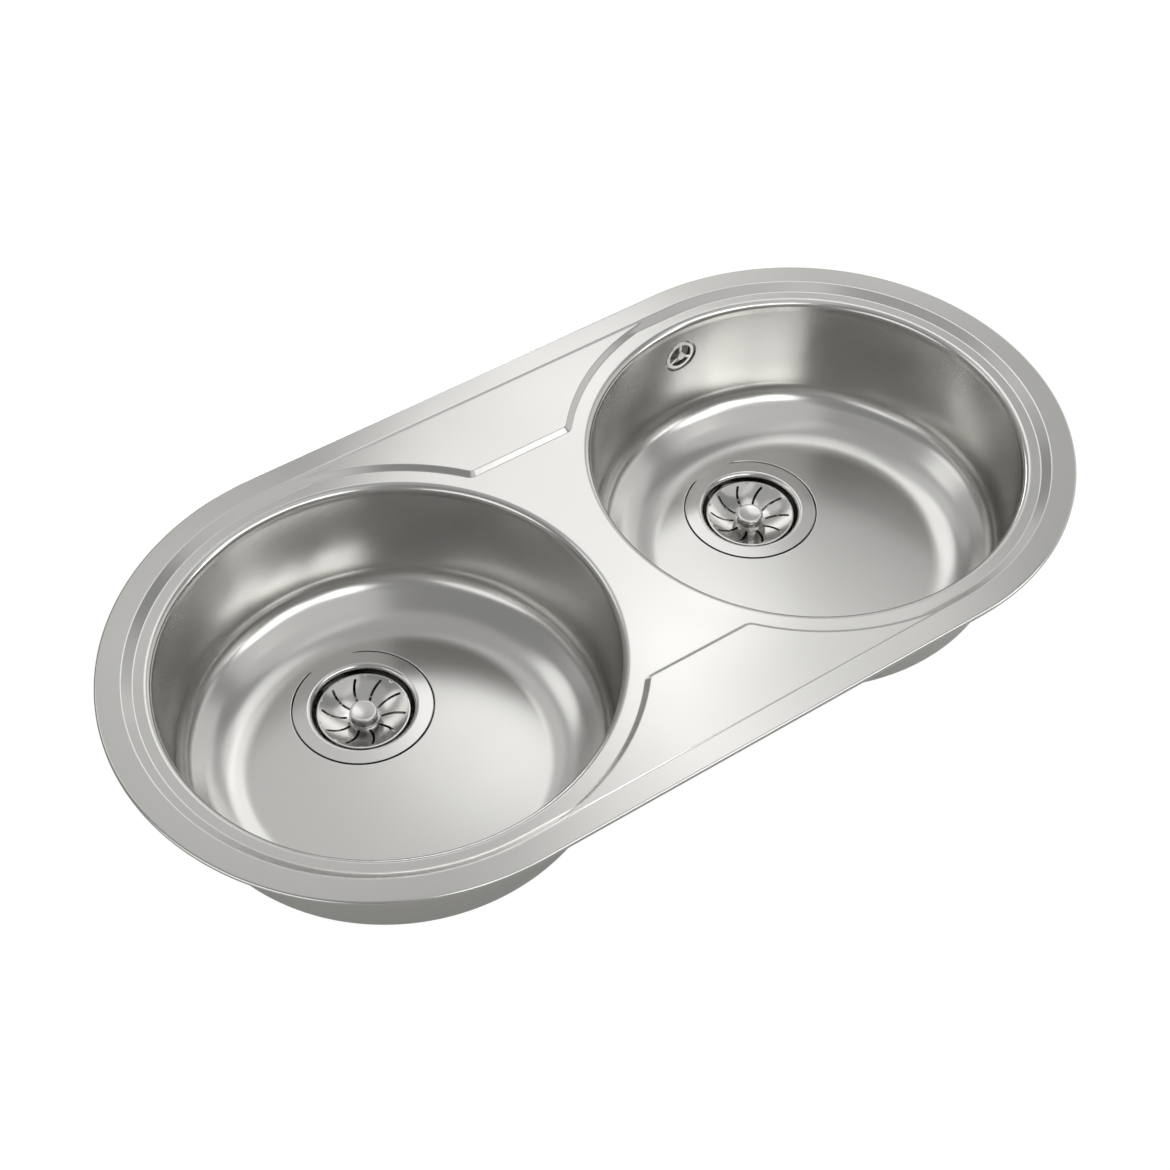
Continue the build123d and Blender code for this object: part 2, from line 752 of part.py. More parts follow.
def make_claw(spot, name):
    """Toothed jaw that rides on the clip screw and grips the worktop from below."""
    with BuildPart() as claw:
        with BuildSketch(spot.offset(claw_z)):
            Circle(claw_boss_r)
        extrude(amount=claw_boss)
        with BuildSketch(spot.offset(claw_z)):
            Polygon((-claw_width / 2, 0), (claw_width / 2, 0), (claw_tip_width / 2, -claw_length),
                    (-claw_tip_width / 2, -claw_length), align=None)
        extrude(amount=claw_thickness)
        with BuildSketch(spot.offset(claw_z + claw_thickness)):
            with Locations((0, -claw_length)):
                Rectangle(claw_tip_width, claw_tooth_length, align=(Align.CENTER, Align.MIN))
        extrude(amount=claw_tooth, taper=claw_tooth_lean)
        with BuildSketch(spot.offset(claw_z)):
            Circle(clip_screw_r + running_gap)
        extrude(amount=claw_boss, mode=Mode.SUBTRACT)
    save(claw.part, name)


for number, (spot, seat) in enumerate(clip_spots, start=1):
    make_clip_screw(spot, f"clip_{number}_screw")
    make_claw(spot, f"clip_{number}_claw")
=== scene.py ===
"""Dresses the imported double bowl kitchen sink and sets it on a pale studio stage."""

import json
from math import atan2, cos, hypot, pi, radians, sin, sqrt, tan

import bpy
from bpy.props import FloatProperty, FloatVectorProperty, IntProperty, PointerProperty
from bpy.types import Operator, Panel, PropertyGroup
from mathutils import Matrix, Vector
from mathutils.geometry import delaunay_2d_cdt


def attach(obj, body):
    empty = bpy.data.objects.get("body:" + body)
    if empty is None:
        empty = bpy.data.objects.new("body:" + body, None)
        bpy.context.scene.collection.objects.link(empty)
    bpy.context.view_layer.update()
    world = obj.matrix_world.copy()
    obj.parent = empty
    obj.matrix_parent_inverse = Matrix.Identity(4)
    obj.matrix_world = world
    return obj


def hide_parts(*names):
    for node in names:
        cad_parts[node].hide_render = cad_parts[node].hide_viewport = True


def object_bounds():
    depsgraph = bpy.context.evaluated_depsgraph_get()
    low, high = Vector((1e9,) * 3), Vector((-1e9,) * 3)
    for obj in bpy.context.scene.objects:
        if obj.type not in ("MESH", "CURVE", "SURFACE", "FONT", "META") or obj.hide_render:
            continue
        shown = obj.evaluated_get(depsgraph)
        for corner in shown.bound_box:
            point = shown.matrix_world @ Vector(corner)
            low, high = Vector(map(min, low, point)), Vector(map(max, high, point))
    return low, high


bl_info = {
    "name": "Double Bowl Kitchen Sink",
    "version": (1, 0, 0),
    "blender": (4, 5, 0),
    "location": "View3D > Sidebar > Sink",
    "description": "Satin steel sink with two bowls, strainers, an overflow and fixing clips",
    "category": "Object",
}

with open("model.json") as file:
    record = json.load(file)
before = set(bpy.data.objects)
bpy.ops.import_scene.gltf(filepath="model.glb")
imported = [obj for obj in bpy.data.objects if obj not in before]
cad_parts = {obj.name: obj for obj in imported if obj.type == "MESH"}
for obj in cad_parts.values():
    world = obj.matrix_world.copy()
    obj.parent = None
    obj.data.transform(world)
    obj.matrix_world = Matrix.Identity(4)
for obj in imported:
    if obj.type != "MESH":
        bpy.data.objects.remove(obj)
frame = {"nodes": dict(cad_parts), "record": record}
cad_low, cad_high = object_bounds()

MM = 0.001
SIDES = {"left": -1, "right": 1}


def linear(code, alpha=1.0):
    """Linear RGBA of an sRGB hex colour."""
    shares = [int(code[i:i + 2], 16) / 255 for i in (0, 2, 4)]
    return tuple(s / 12.92 if s < 0.04045 else ((s + 0.055) / 1.055) ** 2.4 for s in shares) + (alpha,)


# Sizes and colours that a user may change.


def size(name, default, description):
    """A length property, given in millimetres."""
    return FloatProperty(name=name, description=description, default=default * MM, min=0, unit="LENGTH")


def level(name, default, description, **kind):
    """A property that is a share, an angle or a plain number."""
    return FloatProperty(name=name, description=description, default=default, min=0, **kind)


def amount(name, default, description):
    """A counting property."""
    return IntProperty(name=name, description=description, default=default, min=1)


def colour(name, default, description):
    """A colour property from an sRGB hex value."""
    return FloatVectorProperty(name=name, description=description, default=linear(default), size=4,
                               min=0, max=1, subtype="COLOR")


def location(name, default, description):
    """A point in the frame."""
    return FloatVectorProperty(name=name, description=description, default=default, size=3, unit="LENGTH")


class SinkDeckSizes(PropertyGroup):
    """Pressed deck: rim, band, stepped recess and bowl mouths."""

    sheet: size("Sheet", 0.8, "Thickness of the steel sheet")
    width: size("Width", 440, "Front to rear size of the deck")
    rim: size("Rim height", 3, "Height of the rim over the worktop")
    rim_round: size("Rim rounding", 1.8, "Rounding of the rim's outer edge")
    band: size("Band", 20, "Width of the flat band inside the rim")
    band_round: size("Band rounding", 3, "Rounding of the band's inner edge")
    ledge_drop: size("Ledge drop", 5, "Depth of the ledge round the bowls below the band")
    end_run: size("Slope run", 8, "Plan width of the slope from band to ledge")
    end_foot_round: size("Slope foot", 3, "Rounding at the foot of that slope")
    platform_drop: size("Platform drop", 1.2, "Depth of the front and rear platforms below the band")
    platform_run: size("Step run", 4.3, "Plan width of the step from platform to ledge")
    platform_round: size("Step rounding", 1.8, "Rounding of the step's edges")
    saddle_half: size("Saddle", 128, "Half of the saddle's front to rear size")
    saddle_corner: size("Saddle corner", 6, "Plan rounding where step and bowl circle meet")
    mouth_round: size("Mouth rounding", 6, "Rounding of the bowl mouths")
    collar: size("Collar", 12, "Depth of the weld below the top of the band")


class SinkBowlSizes(PropertyGroup):
    """Deep drawn bowls."""

    bowl_x: size("Bowl centre", 200, "Distance of each bowl's axis from the middle")
    bowl_r: size("Bowl radius", 178.5, "Radius of the mouth")
    wall_stub: size("Stub", 3, "Straight wall below the weld")
    wall_bend: size("Wall bend", 20, "Rounding from the stub to the drafted wall")
    foot_z: size("Wall height", 106, "Depth of the wall's foot below the worktop")
    foot_r: size("Foot radius", 172.75, "Radius of the wall's foot")
    foot_round: size("Foot rounding", 27, "Rounding from wall to slope")
    slope_r: size("Slope foot", 138, "Radius where the slope meets the floor")
    floor_round: size("Floor rounding", 60, "Rounding from slope to floor")
    floor_z: size("Floor depth", 131.4, "Depth of the floor below the worktop")
    drain_x: size("Drain centre", 198, "Distance of each drain's axis from the middle")
    drain_y: size("Drain setback", 62, "Distance of the drains behind the middle")
    recess_r: size("Recess radius", 58.6, "Radius of the flange's recess")
    recess_depth: size("Recess depth", 2.6, "Depth of the flange's recess")
    recess_round: size("Recess rounding", 0.9, "Rounding of the recess's edge")
    hole_r: size("Drain hole", 46, "Radius of the hole for the waste")
    overflow_z: size("Overflow depth", 37, "Depth of the overflow below the worktop")
    dimple_r: size("Dimple radius", 16, "Radius of the overflow's flat dimple")
    dimple_y: size("Dimple setback", 178.77, "Distance of the dimple's face behind the bowl's axis")
    overflow_r: size("Overflow hole", 11.4, "Radius of the overflow's hole")


class SinkWasteSizes(PropertyGroup):
    """Waste flanges and strainers."""

    flange_r: size("Flange radius", 57.4, "Radius of the waste flange")
    cup_wall: size("Cup wall", 1.2, "Wall of the waste cup")
    cup_r: size("Cup radius", 42.2, "Inner radius of the waste cup")
    mouth_round: size("Cup mouth", 4, "Rounding of the cup's mouth")
    cup_depth: size("Cup depth", 34, "Depth of the cup below the bowl's floor")
    cup_foot: size("Cup foot", 8, "Rounding of the cup's foot")
    outlet_slots: amount("Outlet slots", 8, "Number of slots in the cup's floor")
    outlet_slot_r: size("Outlet slot circle", 14.5, "Radius of the circle of outlet slots")
    outlet_slot_length: size("Outlet slot length", 8, "Length of an outlet slot")
    outlet_slot_width: size("Outlet slot width", 5, "Width of an outlet slot")
    screw_r: size("Screw hole", 4.08, "Radius of the hole for the waste screw")
    basket_r: size("Basket radius", 38.8, "Outer radius of the strainer basket")
    basket_z: size("Basket depth", 136.9, "Depth of the basket's rim below the worktop")
    basket_sheet: size("Basket sheet", 1, "Thickness of the basket's sheet")
    basket_lip: size("Basket lip", 1.6, "Width of the basket's flat lip")
    basket_skirt: size("Basket skirt", 7, "Height of the basket's skirt")
    basket_round: size("Basket edge", 0.5, "Rounding from the lip to the skirt")
    dish_depth: size("Dish depth", 9, "Depth of the dish below the basket's lip")
    hub_r: size("Dish hub", 13, "Radius of the flat middle under the knob")
    stem_r: size("Stem hole", 3.08, "Radius of the hole for the stem")
    slots: amount("Strainer slots", 10, "Number of swirled slots")
    slot_inner_r: size("Slot inner radius", 15, "Radius of a slot's inner end")
    slot_outer_r: size("Slot outer radius", 34, "Radius of a slot's outer end")
    slot_width: size("Slot width", 2.2, "Width of a strainer slot")
    slot_turn: level("Slot turn", radians(7), "Angle by which a slot sweeps back to its inner end",
                     subtype="ANGLE")
    slot_start: level("Slot start", radians(4.2), "Turn of the slots that centres each one in its sector",
                      subtype="ANGLE")
    cap_r: size("Knob radius", 11.5, "Radius of the knob's cap")
    cap_thickness: size("Cap thickness", 3.2, "Thickness of the knob's cap")
    cap_round: size("Cap rounding", 1.2, "Rounding of the cap's edge")
    cap_dimple: size("Cap dimple", 0.8, "Depth of the shallow cone in the cap")
    neck_r: size("Neck radius", 7.5, "Radius of the knob's neck")
    neck_round: size("Neck rounding", 1.6, "Rounding at the neck's ends")
    foot_r: size("Knob foot radius", 12.5, "Radius of the knob's foot")
    foot: size("Knob foot", 2, "Thickness of the knob's foot")
    outlet_r: size("Outlet radius", 23.9, "Outer radius of the outlet's thread")
    outlet_bore: size("Outlet bore", 21.3, "Inner radius of the outlet")
    outlet_z: size("Outlet depth", 219.8, "Depth of the outlet's lower end below the worktop")
    outlet_top: size("Outlet top", 197.3, "Depth of the outlet's upper end below the worktop")
    outlet_plain: size("Outlet collar", 3, "Height of the outlet's plain end")
    outlet_thread: size("Outlet thread depth", 1.15, "Depth of the outlet's thread")
    outlet_pitch: size("Outlet pitch", 2.309, "Height of one turn of the outlet's thread")


class SinkClipSizes(PropertyGroup):
    """Screws of the fixing clips."""

    end_x: size("End clips", 396, "Distance of the two end clips from the middle")
    side_x: size("Side clips", 80, "Distance of the four side clips to the left and right of the middle")
    side_y: size("Side clip rows", 186, "Distance of the side clips in front of and behind the middle")
    tab_depth: size("Tab depth", 12, "Depth of the bracket's tab below the worktop")
    tab: size("Tab", 1.2, "Thickness of the tab")
    reach: size("Reach", 22, "Length of the screw below the tab")
    rise: size("Screw length", 26.6, "Length of the screw over its head")
    screw_r: size("Screw radius", 2.5, "Outer radius of the thread")
    thread_depth: size("Thread depth", 0.4, "Depth of the thread")
    pitch: size("Thread pitch", 0.8, "Height of one turn of the thread")
    collar_r: size("Collar radius", 4.2, "Radius of the two collars at the tab")
    collar: size("Collar", 1.4, "Thickness of a collar")
    play: size("Play", 0.1, "Gap between a collar and the tab")
    head_r: size("Head radius", 4.8, "Radius of the screw's head")
    head: size("Head", 3.4, "Height of the screw's head")
    head_round: size("Head rounding", 0.8, "Rounding of the head's lower edge")


class SinkFinish(PropertyGroup):
    """Colours of the materials."""

    steel: colour("Stainless steel", "cbcac7", "Satin stainless sheet of deck and bowls")
    fittings: colour("Fittings steel", "cbcac8", "Polished stainless of flanges, strainers and rosette")
    zinc: colour("Zinc", "a9acae", "Bright zinc plating of the clips")
    rubber: colour("Rubber", "1d1d1d", "Moulded nitrile rubber of gaskets and washers")
    foam: colour("Foam", "2b2b2b", "Closed cell foam of the rim seal")
    pad: colour("Damping pad", "35322f", "Bitumen felt of the sound pads")
    white: colour("White plastic", "dfdfda", "Moulded polypropylene of wastes and elbow")
    dark: colour("Dark plastic", "2c2d2e", "Moulded polypropylene of the plugs")
    brass: colour("Brass", "c9a866", "Turned brass of the inserts")


class SinkStudio(PropertyGroup):
    """Camera, floor and level of the light."""

    camera: location("Camera", (-0.63177, -0.91347, 1.25114), "Where the camera stands")
    aim: location("Aim", (-0.037683, -0.026064, 0.003), "Point that the camera looks at")
    lens: level("Lens", 65.03, "Focal length in millimetres, for a 36 mm frame")
    floor: colour("Floor", "c8c8c6", "Seamless paper under the sink")
    floor_half: size("Floor reach", 6000, "Half of the floor's side")
    floor_white: level("Floor white", 0.88, "How far the camera sees the floor as white", max=1)
    floor_glow: level("Floor glow", 1.1, "Brightness of that white")
    room: level("Room", 0.34, "Brightness of the room between the soft boxes")
    box_reach: size("Soft boxes", 1600, "Distance of the soft boxes from the sink")


# Outlines, and the skins made from them.


def rounded(corners, radii, steps=6):
    """Points of an open outline with rounded corners, each with the normal on its left."""
    corners = [Vector(corner) for corner in corners]
    ways = [(b - a).normalized() for a, b in zip(corners, corners[1:])]
    sides = [Vector((-way.y, way.x)) for way in ways]
    outline = [(corners[0], sides[0])]
    for corner, before, after, side, radius in zip(corners[1:], ways, ways[1:], sides, radii):
        turn = atan2(before.x * after.y - before.y * after.x, before.dot(after))
        hand = 1 if turn > 0 else -1
        start = corner - before * radius * tan(abs(turn) / 2)
        centre = start + side * hand * radius
        for step in range(steps + 1):
            angle = turn * step / steps
            normal = Vector((side.x * cos(angle) - side.y * sin(angle),
                             side.x * sin(angle) + side.y * cos(angle)))
            outline.append((centre - normal * hand * radius, normal))
    outline.append((corners[-1], sides[-1]))
    return outline


class Skin:
    """Points with a normal each, and the faces between them."""

    def __init__(self):
        self.points, self.normals, self.faces = [], [], []

    def point(self, place, normal):
        """Adds a point and returns its index."""
        self.points.append(Vector(place))
        self.normals.append(Vector(normal).normalized())
        return len(self.points) - 1

    def face(self, corners):
        """Adds a face, turned to the side its normals point to."""
        a, b, c = (self.points[i] for i in (corners[0], corners[1], corners[-1]))
        facing = sum((self.normals[i] for i in corners), Vector())
        outward = (b - a).cross(c - a).dot(facing) > 0
        self.faces.append(list(corners) if outward else list(reversed(corners)))

    def strip(self, first, second):
        """Closes the gap between two rings of points."""
        for i in range(len(first)):
            self.face([first[i - 1], first[i], second[i], second[i - 1]])

    def ring(self, spot, centre, count):
        """A ring of points for one outline point turned about an upright axis."""
        (reach, z), (out, up) = spot
        ways = [(cos(2 * pi * i / count), sin(2 * pi * i / count)) for i in range(count)]
        return [self.point((centre[0] + reach * x, centre[1] + reach * y, z), (out * x, out * y, up))
                for x, y in ways]

    def lathe(self, outline, centre, count, first=None):
        """Rings for a whole outline, joined, and returns the first and last ring."""
        rings = [first] if first else []
        rings += [self.ring(spot, centre, count) for spot in outline]
        for lower, upper in zip(rings, rings[1:]):
            self.strip(lower, upper)
        return rings[0], rings[-1]

    def pole(self, ring, place, normal):
        """Closes a ring with a fan to one point."""
        tip = self.point(place, normal)
        for i in range(len(ring)):
            self.face([ring[i - 1], ring[i], tip])

    def sheet(self, thickness):
        """Gives the skin its back and its cut edges, which shade as if slightly rounded."""
        count = len(self.points)
        edges = {(a, b) for face in self.faces for a, b in zip(face, face[1:] + face[:1])}
        cuts = [(a, b) for a, b in sorted(edges) if (b, a) not in edges]
        self.faces += [[i + count for i in reversed(face)] for face in self.faces]
        self.points += [p - n * thickness for p, n in zip(self.points, self.normals)]
        self.normals += [-n for n in self.normals]
        sides = {}
        for a, b in cuts:
            side = (self.points[b] - self.points[a]).cross(self.normals[a]).normalized()
            for i in (a, b):
                sides[i] = sides.get(i, Vector()) + side
        middles = {i: self.point((self.points[i] + self.points[i + count]) / 2, side)
                   for i, side in sides.items()}
        for a, b in cuts:
            self.faces.append([b, a, middles[a], middles[b]])
            self.faces.append([middles[b], middles[a], a + count, b + count])

    def mesh(self, name):
        """A mesh of the points in use, with the skin's own normals."""
        used = sorted({i for face in self.faces for i in face})
        place = {old: new for new, old in enumerate(used)}
        mesh = bpy.data.meshes.new(name)
        faces = [[place[i] for i in face] for face in self.faces]
        mesh.from_pydata([self.points[i] for i in used], [], faces)
        mesh.shade_smooth()
        mesh.normals_split_custom_set_from_vertices([self.normals[i] for i in used])
        return mesh


def piece(name, mesh, body, slot, *nodes):
    """A finished piece that stands for some CAD nodes and rides on a body."""
    made = bpy.data.objects.new(name, mesh)
    bpy.context.scene.collection.objects.link(made)
    mesh.materials.clear()
    mesh.materials.append(finish(slot))
    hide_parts(*nodes)
    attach(made, body)
    return made


def flat_fill(skin, spots, rows, surface, keep):
    """Fills a plan area with triangles whose height and normal come from a surface.

    spots are plan points, each with the index of the skin's point there or None. rows are runs of spots
    that stay edges. keep says which triangles stay. With an index for every spot, surface may be None.
    """
    plan = [Vector(place) for place, index in spots]
    edges = [pair for row in rows for pair in zip(row, row[1:])]
    found = delaunay_2d_cdt(plan, edges, [], 0, 1e-8)
    places, triangles, origins = found[0], found[2], found[3]
    indices = []
    for place, origin in zip(places, origins):
        known = [spots[i][1] for i in origin if spots[i][1] is not None]
        if known:
            indices.append(known[0])
        else:
            z, normal = surface(place.x, place.y)
            indices.append(skin.point((place.x, place.y, z), normal))
    for triangle in triangles:
        middle = sum((places[i] for i in triangle), Vector((0, 0))) / 3
        if keep(middle.x, middle.y):
            skin.face([indices[i] for i in triangle])


# Deck: the face of the pressing as a height over the plan, then its back one sheet lower.

# Steps of the deck's ends, bowl mouths, saddle corners and platform steps, and where those last ones end.
ARC_STEPS = 96
MOUTH_STEPS = 240
CORNER_STEPS = 12
SWEEP_STEPS = 48
STEP_END = radians(85)


def reading(outline, reach):
    """Height and slope normal of an outline at one distance along it."""
    for (low, before), (high, after) in zip(outline, outline[1:]):
        if low.x <= reach <= high.x and high.x > low.x:
            part = (reach - low.x) / (high.x - low.x)
            return low.y + (high.y - low.y) * part, (before * (1 - part) + after * part).normalized()
    return outline[-1][0].y, outline[-1][1]


def deck_skin(deck, bowl):
    """The whole visible face of the deck."""
    half = deck.width / 2
    ledge = deck.rim - deck.ledge_drop
    platform = deck.rim - deck.platform_drop
    basin = half - deck.band
    slope = deck.ledge_drop / deck.end_run
    far = half

    well = rounded([(0, 0), (0, deck.rim), (deck.band, deck.rim), (deck.band + deck.end_run, ledge),
                    (far, ledge)], [deck.rim_round, deck.band_round, deck.end_foot_round])
    lands = rounded([(-far, platform), (0, platform), (deck.platform_run, ledge), (far, ledge)],
                    [deck.platform_round, deck.platform_round])
    lip = [spot for spot in well if spot[0].x < deck.rim_round * 1.01]
    plateau = [spot for spot in well if spot[0].x >= deck.rim_round * 0.99]
    lift = deck.saddle_half + deck.saddle_corner
    hub = Vector((bowl.bowl_x - sqrt((basin + deck.saddle_corner) ** 2 - lift ** 2), lift))
    axis = Vector((bowl.bowl_x, 0))
    to_bowl = axis - hub

    def stadium(inset):
        """Plan points of the deck's outline moved inward, with the way outward."""
        turns = [-pi / 2 + pi * i / ARC_STEPS for i in range(ARC_STEPS + 1)]
        ends = [(bowl.bowl_x, t) for t in turns] + [(-bowl.bowl_x, t + pi) for t in turns]
        reach = half - inset
        return [((x + reach * cos(t), reach * sin(t)), (cos(t), sin(t))) for x, t in ends]

    def step_line(depth, front):
        """Plan points of the platform step's line, moved by depth towards the saddle."""
        turn = atan2(to_bowl.y, to_bowl.x)
        run = [(0.0, deck.saddle_half - depth)]
        for i in range(CORNER_STEPS + 1):
            angle = -pi / 2 + (turn + pi / 2) * i / CORNER_STEPS
            reach = deck.saddle_corner + depth
            run.append((hub.x + reach * cos(angle), hub.y + reach * sin(angle)))
        start = pi + turn
        for i in range(1, SWEEP_STEPS + 1):
            angle = start + (STEP_END - start) * i / SWEEP_STEPS
            run.append((bowl.bowl_x + (basin - depth) * cos(angle), (basin - depth) * sin(angle)))
        run = [(-x, y) for x, y in reversed(run[1:])] + run
        return [(x, front * y) for x, y in run]

    def surface(x, y):
        """Height and normal of the deck's face at one plan point."""
        spine = Vector((max(-bowl.bowl_x, min(bowl.bowl_x, x)), 0))
        inward = spine - Vector((x, y))
        inset = half - inward.length
        z_well, n_well = reading(well, max(inset, deck.rim_round))
        place = Vector((abs(x), abs(y)))
        from_hub = place - hub
        if from_hub.x >= 0 and from_hub.x * to_bowl.y - from_hub.y * to_bowl.x >= 0:
            depth, way = from_hub.length - deck.saddle_corner, from_hub
        elif basin - (axis - place).length > deck.saddle_half - place.y:
            depth, way = basin - (axis - place).length, axis - place
        else:
            depth, way = deck.saddle_half - place.y, Vector((0, -1))
        z_land, n_land = reading(lands, depth)
        if z_well >= z_land:
            way, height, normal = inward, z_well, n_well
        else:
            way = Vector((way.x * (1 if x > 0 else -1), way.y * (1 if y > 0 else -1)))
            height, normal = z_land, n_land
        way = way.normalized() * normal.x if way.length > 0 else Vector((0, 0))
        return height, (way.x, way.y, normal.y)

    skin = Skin()
    outer = []
    for (inset, z), (side, up) in lip:
        outer.append([skin.point((x, y, z), (-side * out[0], -side * out[1], up))
                      for (x, y), out in stadium(inset)])
    for lower, upper in zip(outer, outer[1:]):
        skin.strip(lower, upper)

    spots, rows = [], []

    def run(places, indices=None, closed=False):
        """Adds a run of spots whose edges stay."""
        first = len(spots)
        spots.extend(zip(places, indices or [None] * len(places)))
        row = list(range(first, len(spots)))
        rows.append(row + row[:1] if closed else row)

    run([place for place, out in stadium(lip[-1][0].x)], outer[-1], closed=True)
    insets = [spot[0].x for spot in plateau if deck.rim_round * 1.01 < spot[0].x < far]
    insets.append(deck.band + deck.platform_drop / slope)
    for inset in sorted(set(insets)):
        run([place for place, out in stadium(inset)], closed=True)
    for depth in sorted({spot[0].x for spot in lands if abs(spot[0].x) < deck.band}):
        for front in (-1, 1):
            run(step_line(depth, front))
    mouth = rounded([(bowl.bowl_r, deck.rim - deck.collar), (bowl.bowl_r, ledge),
                     (bowl.bowl_r + 2 * deck.mouth_round, ledge)], [deck.mouth_round], 8)[:-1]
    for side in SIDES.values():
        top = skin.lathe(mouth, (side * bowl.bowl_x, 0), MOUTH_STEPS)[1]
        run([skin.points[i].xy for i in top], top, closed=True)
    reach = bowl.bowl_r + deck.mouth_round
    flat_fill(skin, spots, rows, surface, lambda x, y: hypot(abs(x) - bowl.bowl_x, y) > reach)
    return skin


# Bowls. The overflow's dimple is set in a window in the rear wall, a few steps wide.

DIMPLE_MARGIN = 3 * MM
WINDOW_STEPS = 4


def bowl_skin(deck, bowl, side, overflow):
    """The inside of one bowl, from the weld to the hole for the waste."""
    centre = (side * bowl.bowl_x, 0)
    drain = (side * bowl.drain_x, bowl.drain_y)
    top = deck.rim - deck.collar
    stub = top - bowl.wall_stub
    # The outline's first point only gives the floor's direction. The floor starts at its rounding.
    wall = rounded([(bowl.slope_r - bowl.floor_round, -bowl.floor_z), (bowl.slope_r, -bowl.floor_z),
                    (bowl.foot_r, -bowl.foot_z), (bowl.bowl_r, stub), (bowl.bowl_r, top)],
                   [bowl.floor_round, bowl.foot_round, bowl.wall_bend], 14)[1:]
    draft = (bowl.bowl_r - bowl.foot_r) / (stub + bowl.foot_z)

    def wall_r(z):
        """Radius of the straight wall at one height."""
        return bowl.bowl_r - (stub - z) * draft

    skin = Skin()
    if overflow:
        high = bowl.overflow_z - bowl.dimple_r - DIMPLE_MARGIN
        low = bowl.overflow_z + bowl.dimple_r + DIMPLE_MARGIN
        normal = Vector((-1, draft)).normalized()
        split = next(i for i, spot in enumerate(wall) if spot[0].y > -high)
        wall[split:split] = [(Vector((wall_r(-z), -z)), normal) for z in (low, high)]
    rings = [skin.ring(spot, centre, MOUTH_STEPS) for spot in wall]
    rear = MOUTH_STEPS // 4
    window = range(rear - WINDOW_STEPS, rear + WINDOW_STEPS) if overflow else ()
    for number, (lower, upper) in enumerate(zip(rings, rings[1:])):
        for i in range(MOUTH_STEPS):
            j = (i + 1) % MOUTH_STEPS
            if overflow and number == split and i in window:
                continue
            skin.face([lower[i], lower[j], upper[j], upper[i]])
    if overflow:
        overflow_wall(skin, bowl, centre, wall_r, rings[split], rings[split + 1], window)

    # The upper rounding is a hair smaller than the run before it, so that no two points fall together.
    recess = rounded([(bowl.recess_r + bowl.recess_round, -bowl.floor_z), (bowl.recess_r, -bowl.floor_z),
                      (bowl.recess_r, -bowl.floor_z - bowl.recess_depth),
                      (bowl.hole_r, -bowl.floor_z - bowl.recess_depth)],
                     [bowl.recess_round * 0.999, bowl.recess_round], 5)
    recess = [(spot, -normal) for spot, normal in recess]
    skin.lathe(recess, drain, MOUTH_STEPS, rings[0])
    return skin


def overflow_wall(skin, bowl, centre, wall_r, lower, upper, window):
    """The piece of wall round the overflow's dimple, and the dimple itself."""
    steps = 48
    edge = 0.35 * MM
    turns = [2 * pi * i / steps for i in range(steps)]
    middle = -bowl.overflow_z

    def on_wall(x, z):
        """Place and normal on the wall for a plan offset and a height."""
        reach = wall_r(z)
        y = sqrt(reach ** 2 - x ** 2)
        return (centre[0] + x, y, z), (-x / reach, -y / reach, 0.06)

    spots, rows = [], []
    corners = [lower[i] for i in range(window[0], window[-1] + 2)]
    corners += [upper[i] for i in range(window[-1] + 1, window[0] - 1, -1)]
    spots += [((skin.points[i].x - centre[0], skin.points[i].z), i) for i in corners]
    rows.append(list(range(len(corners))) + [0])
    rim = []
    for t in turns:
        x, z = (bowl.dimple_r + edge) * cos(t), middle + (bowl.dimple_r + edge) * sin(t)
        rim.append(skin.point(*on_wall(x, z)))
        spots.append(((x, z), rim[-1]))
    rows.append(list(range(len(corners), len(spots))) + [len(corners)])
    flat_fill(skin, spots, rows, None, lambda x, z: hypot(x, z - middle) > bowl.dimple_r + edge * 0.9)
    # Reach, what the depth is measured from (None is the wall), depth, and how far the point faces inward.
    last = rim
    for reach, face, depth, out in ((bowl.dimple_r + edge * 0.3, None, edge * 0.3, 0.5),
                                    (bowl.dimple_r, None, edge, 0),
                                    (bowl.dimple_r, bowl.dimple_y, -edge, 0),
                                    (bowl.dimple_r - edge * 0.7, bowl.dimple_y, -edge * 0.3, 0.5),
                                    (bowl.dimple_r - edge, bowl.dimple_y, 0, 1),
                                    (bowl.overflow_r, bowl.dimple_y, 0, 1)):
        row = []
        for t in turns:
            x, z = reach * cos(t), middle + reach * sin(t)
            y = (on_wall(x, z)[0][1] if face is None else face) + depth
            side = Vector((-cos(t), 0, -sin(t)))
            row.append(skin.point((centre[0] + x, y, z), side * (1 - out) + Vector((0, -1, 0)) * out))
        skin.strip(last, row)
        last = row


# Wastes and strainers.


def held(outline, gap):
    """The outline with a point near both ends of each straight stretch, so that its flats shade flat."""
    full = [outline[0]]
    for (start, before), (end, after) in zip(outline, outline[1:]):
        if before.dot(after) > 0.99999 and (end - start).length > 3 * gap:
            step = (end - start).normalized() * gap
            full += [(start + step, before), (end - step, before)]
        full.append((end, after))
    return full


def slot_loop(spine, width):
    """Plan loop round a slot with round ends, along a run of plan points."""
    half = width / 2
    ways = [(b - a).normalized() for a, b in zip(spine, spine[1:])]
    ways = [(a + b).normalized() for a, b in zip(ways[:1] + ways, ways + ways[-1:])]
    loop = [spot + Vector((way.y, -way.x)) * half for spot, way in zip(spine, ways)]
    for spot, way, back in ((spine[-1], ways[-1], 0), (spine[0], ways[0], pi)):
        for i in range(1, 7):
            turn = atan2(way.y, way.x) + back - pi / 2 + pi * i / 7
            loop.append(spot + Vector((cos(turn), sin(turn))) * half)
        if not back:
            loop += [spot - Vector((way.y, -way.x)) * half
                     for spot, way in zip(reversed(spine), reversed(ways))]
    return loop


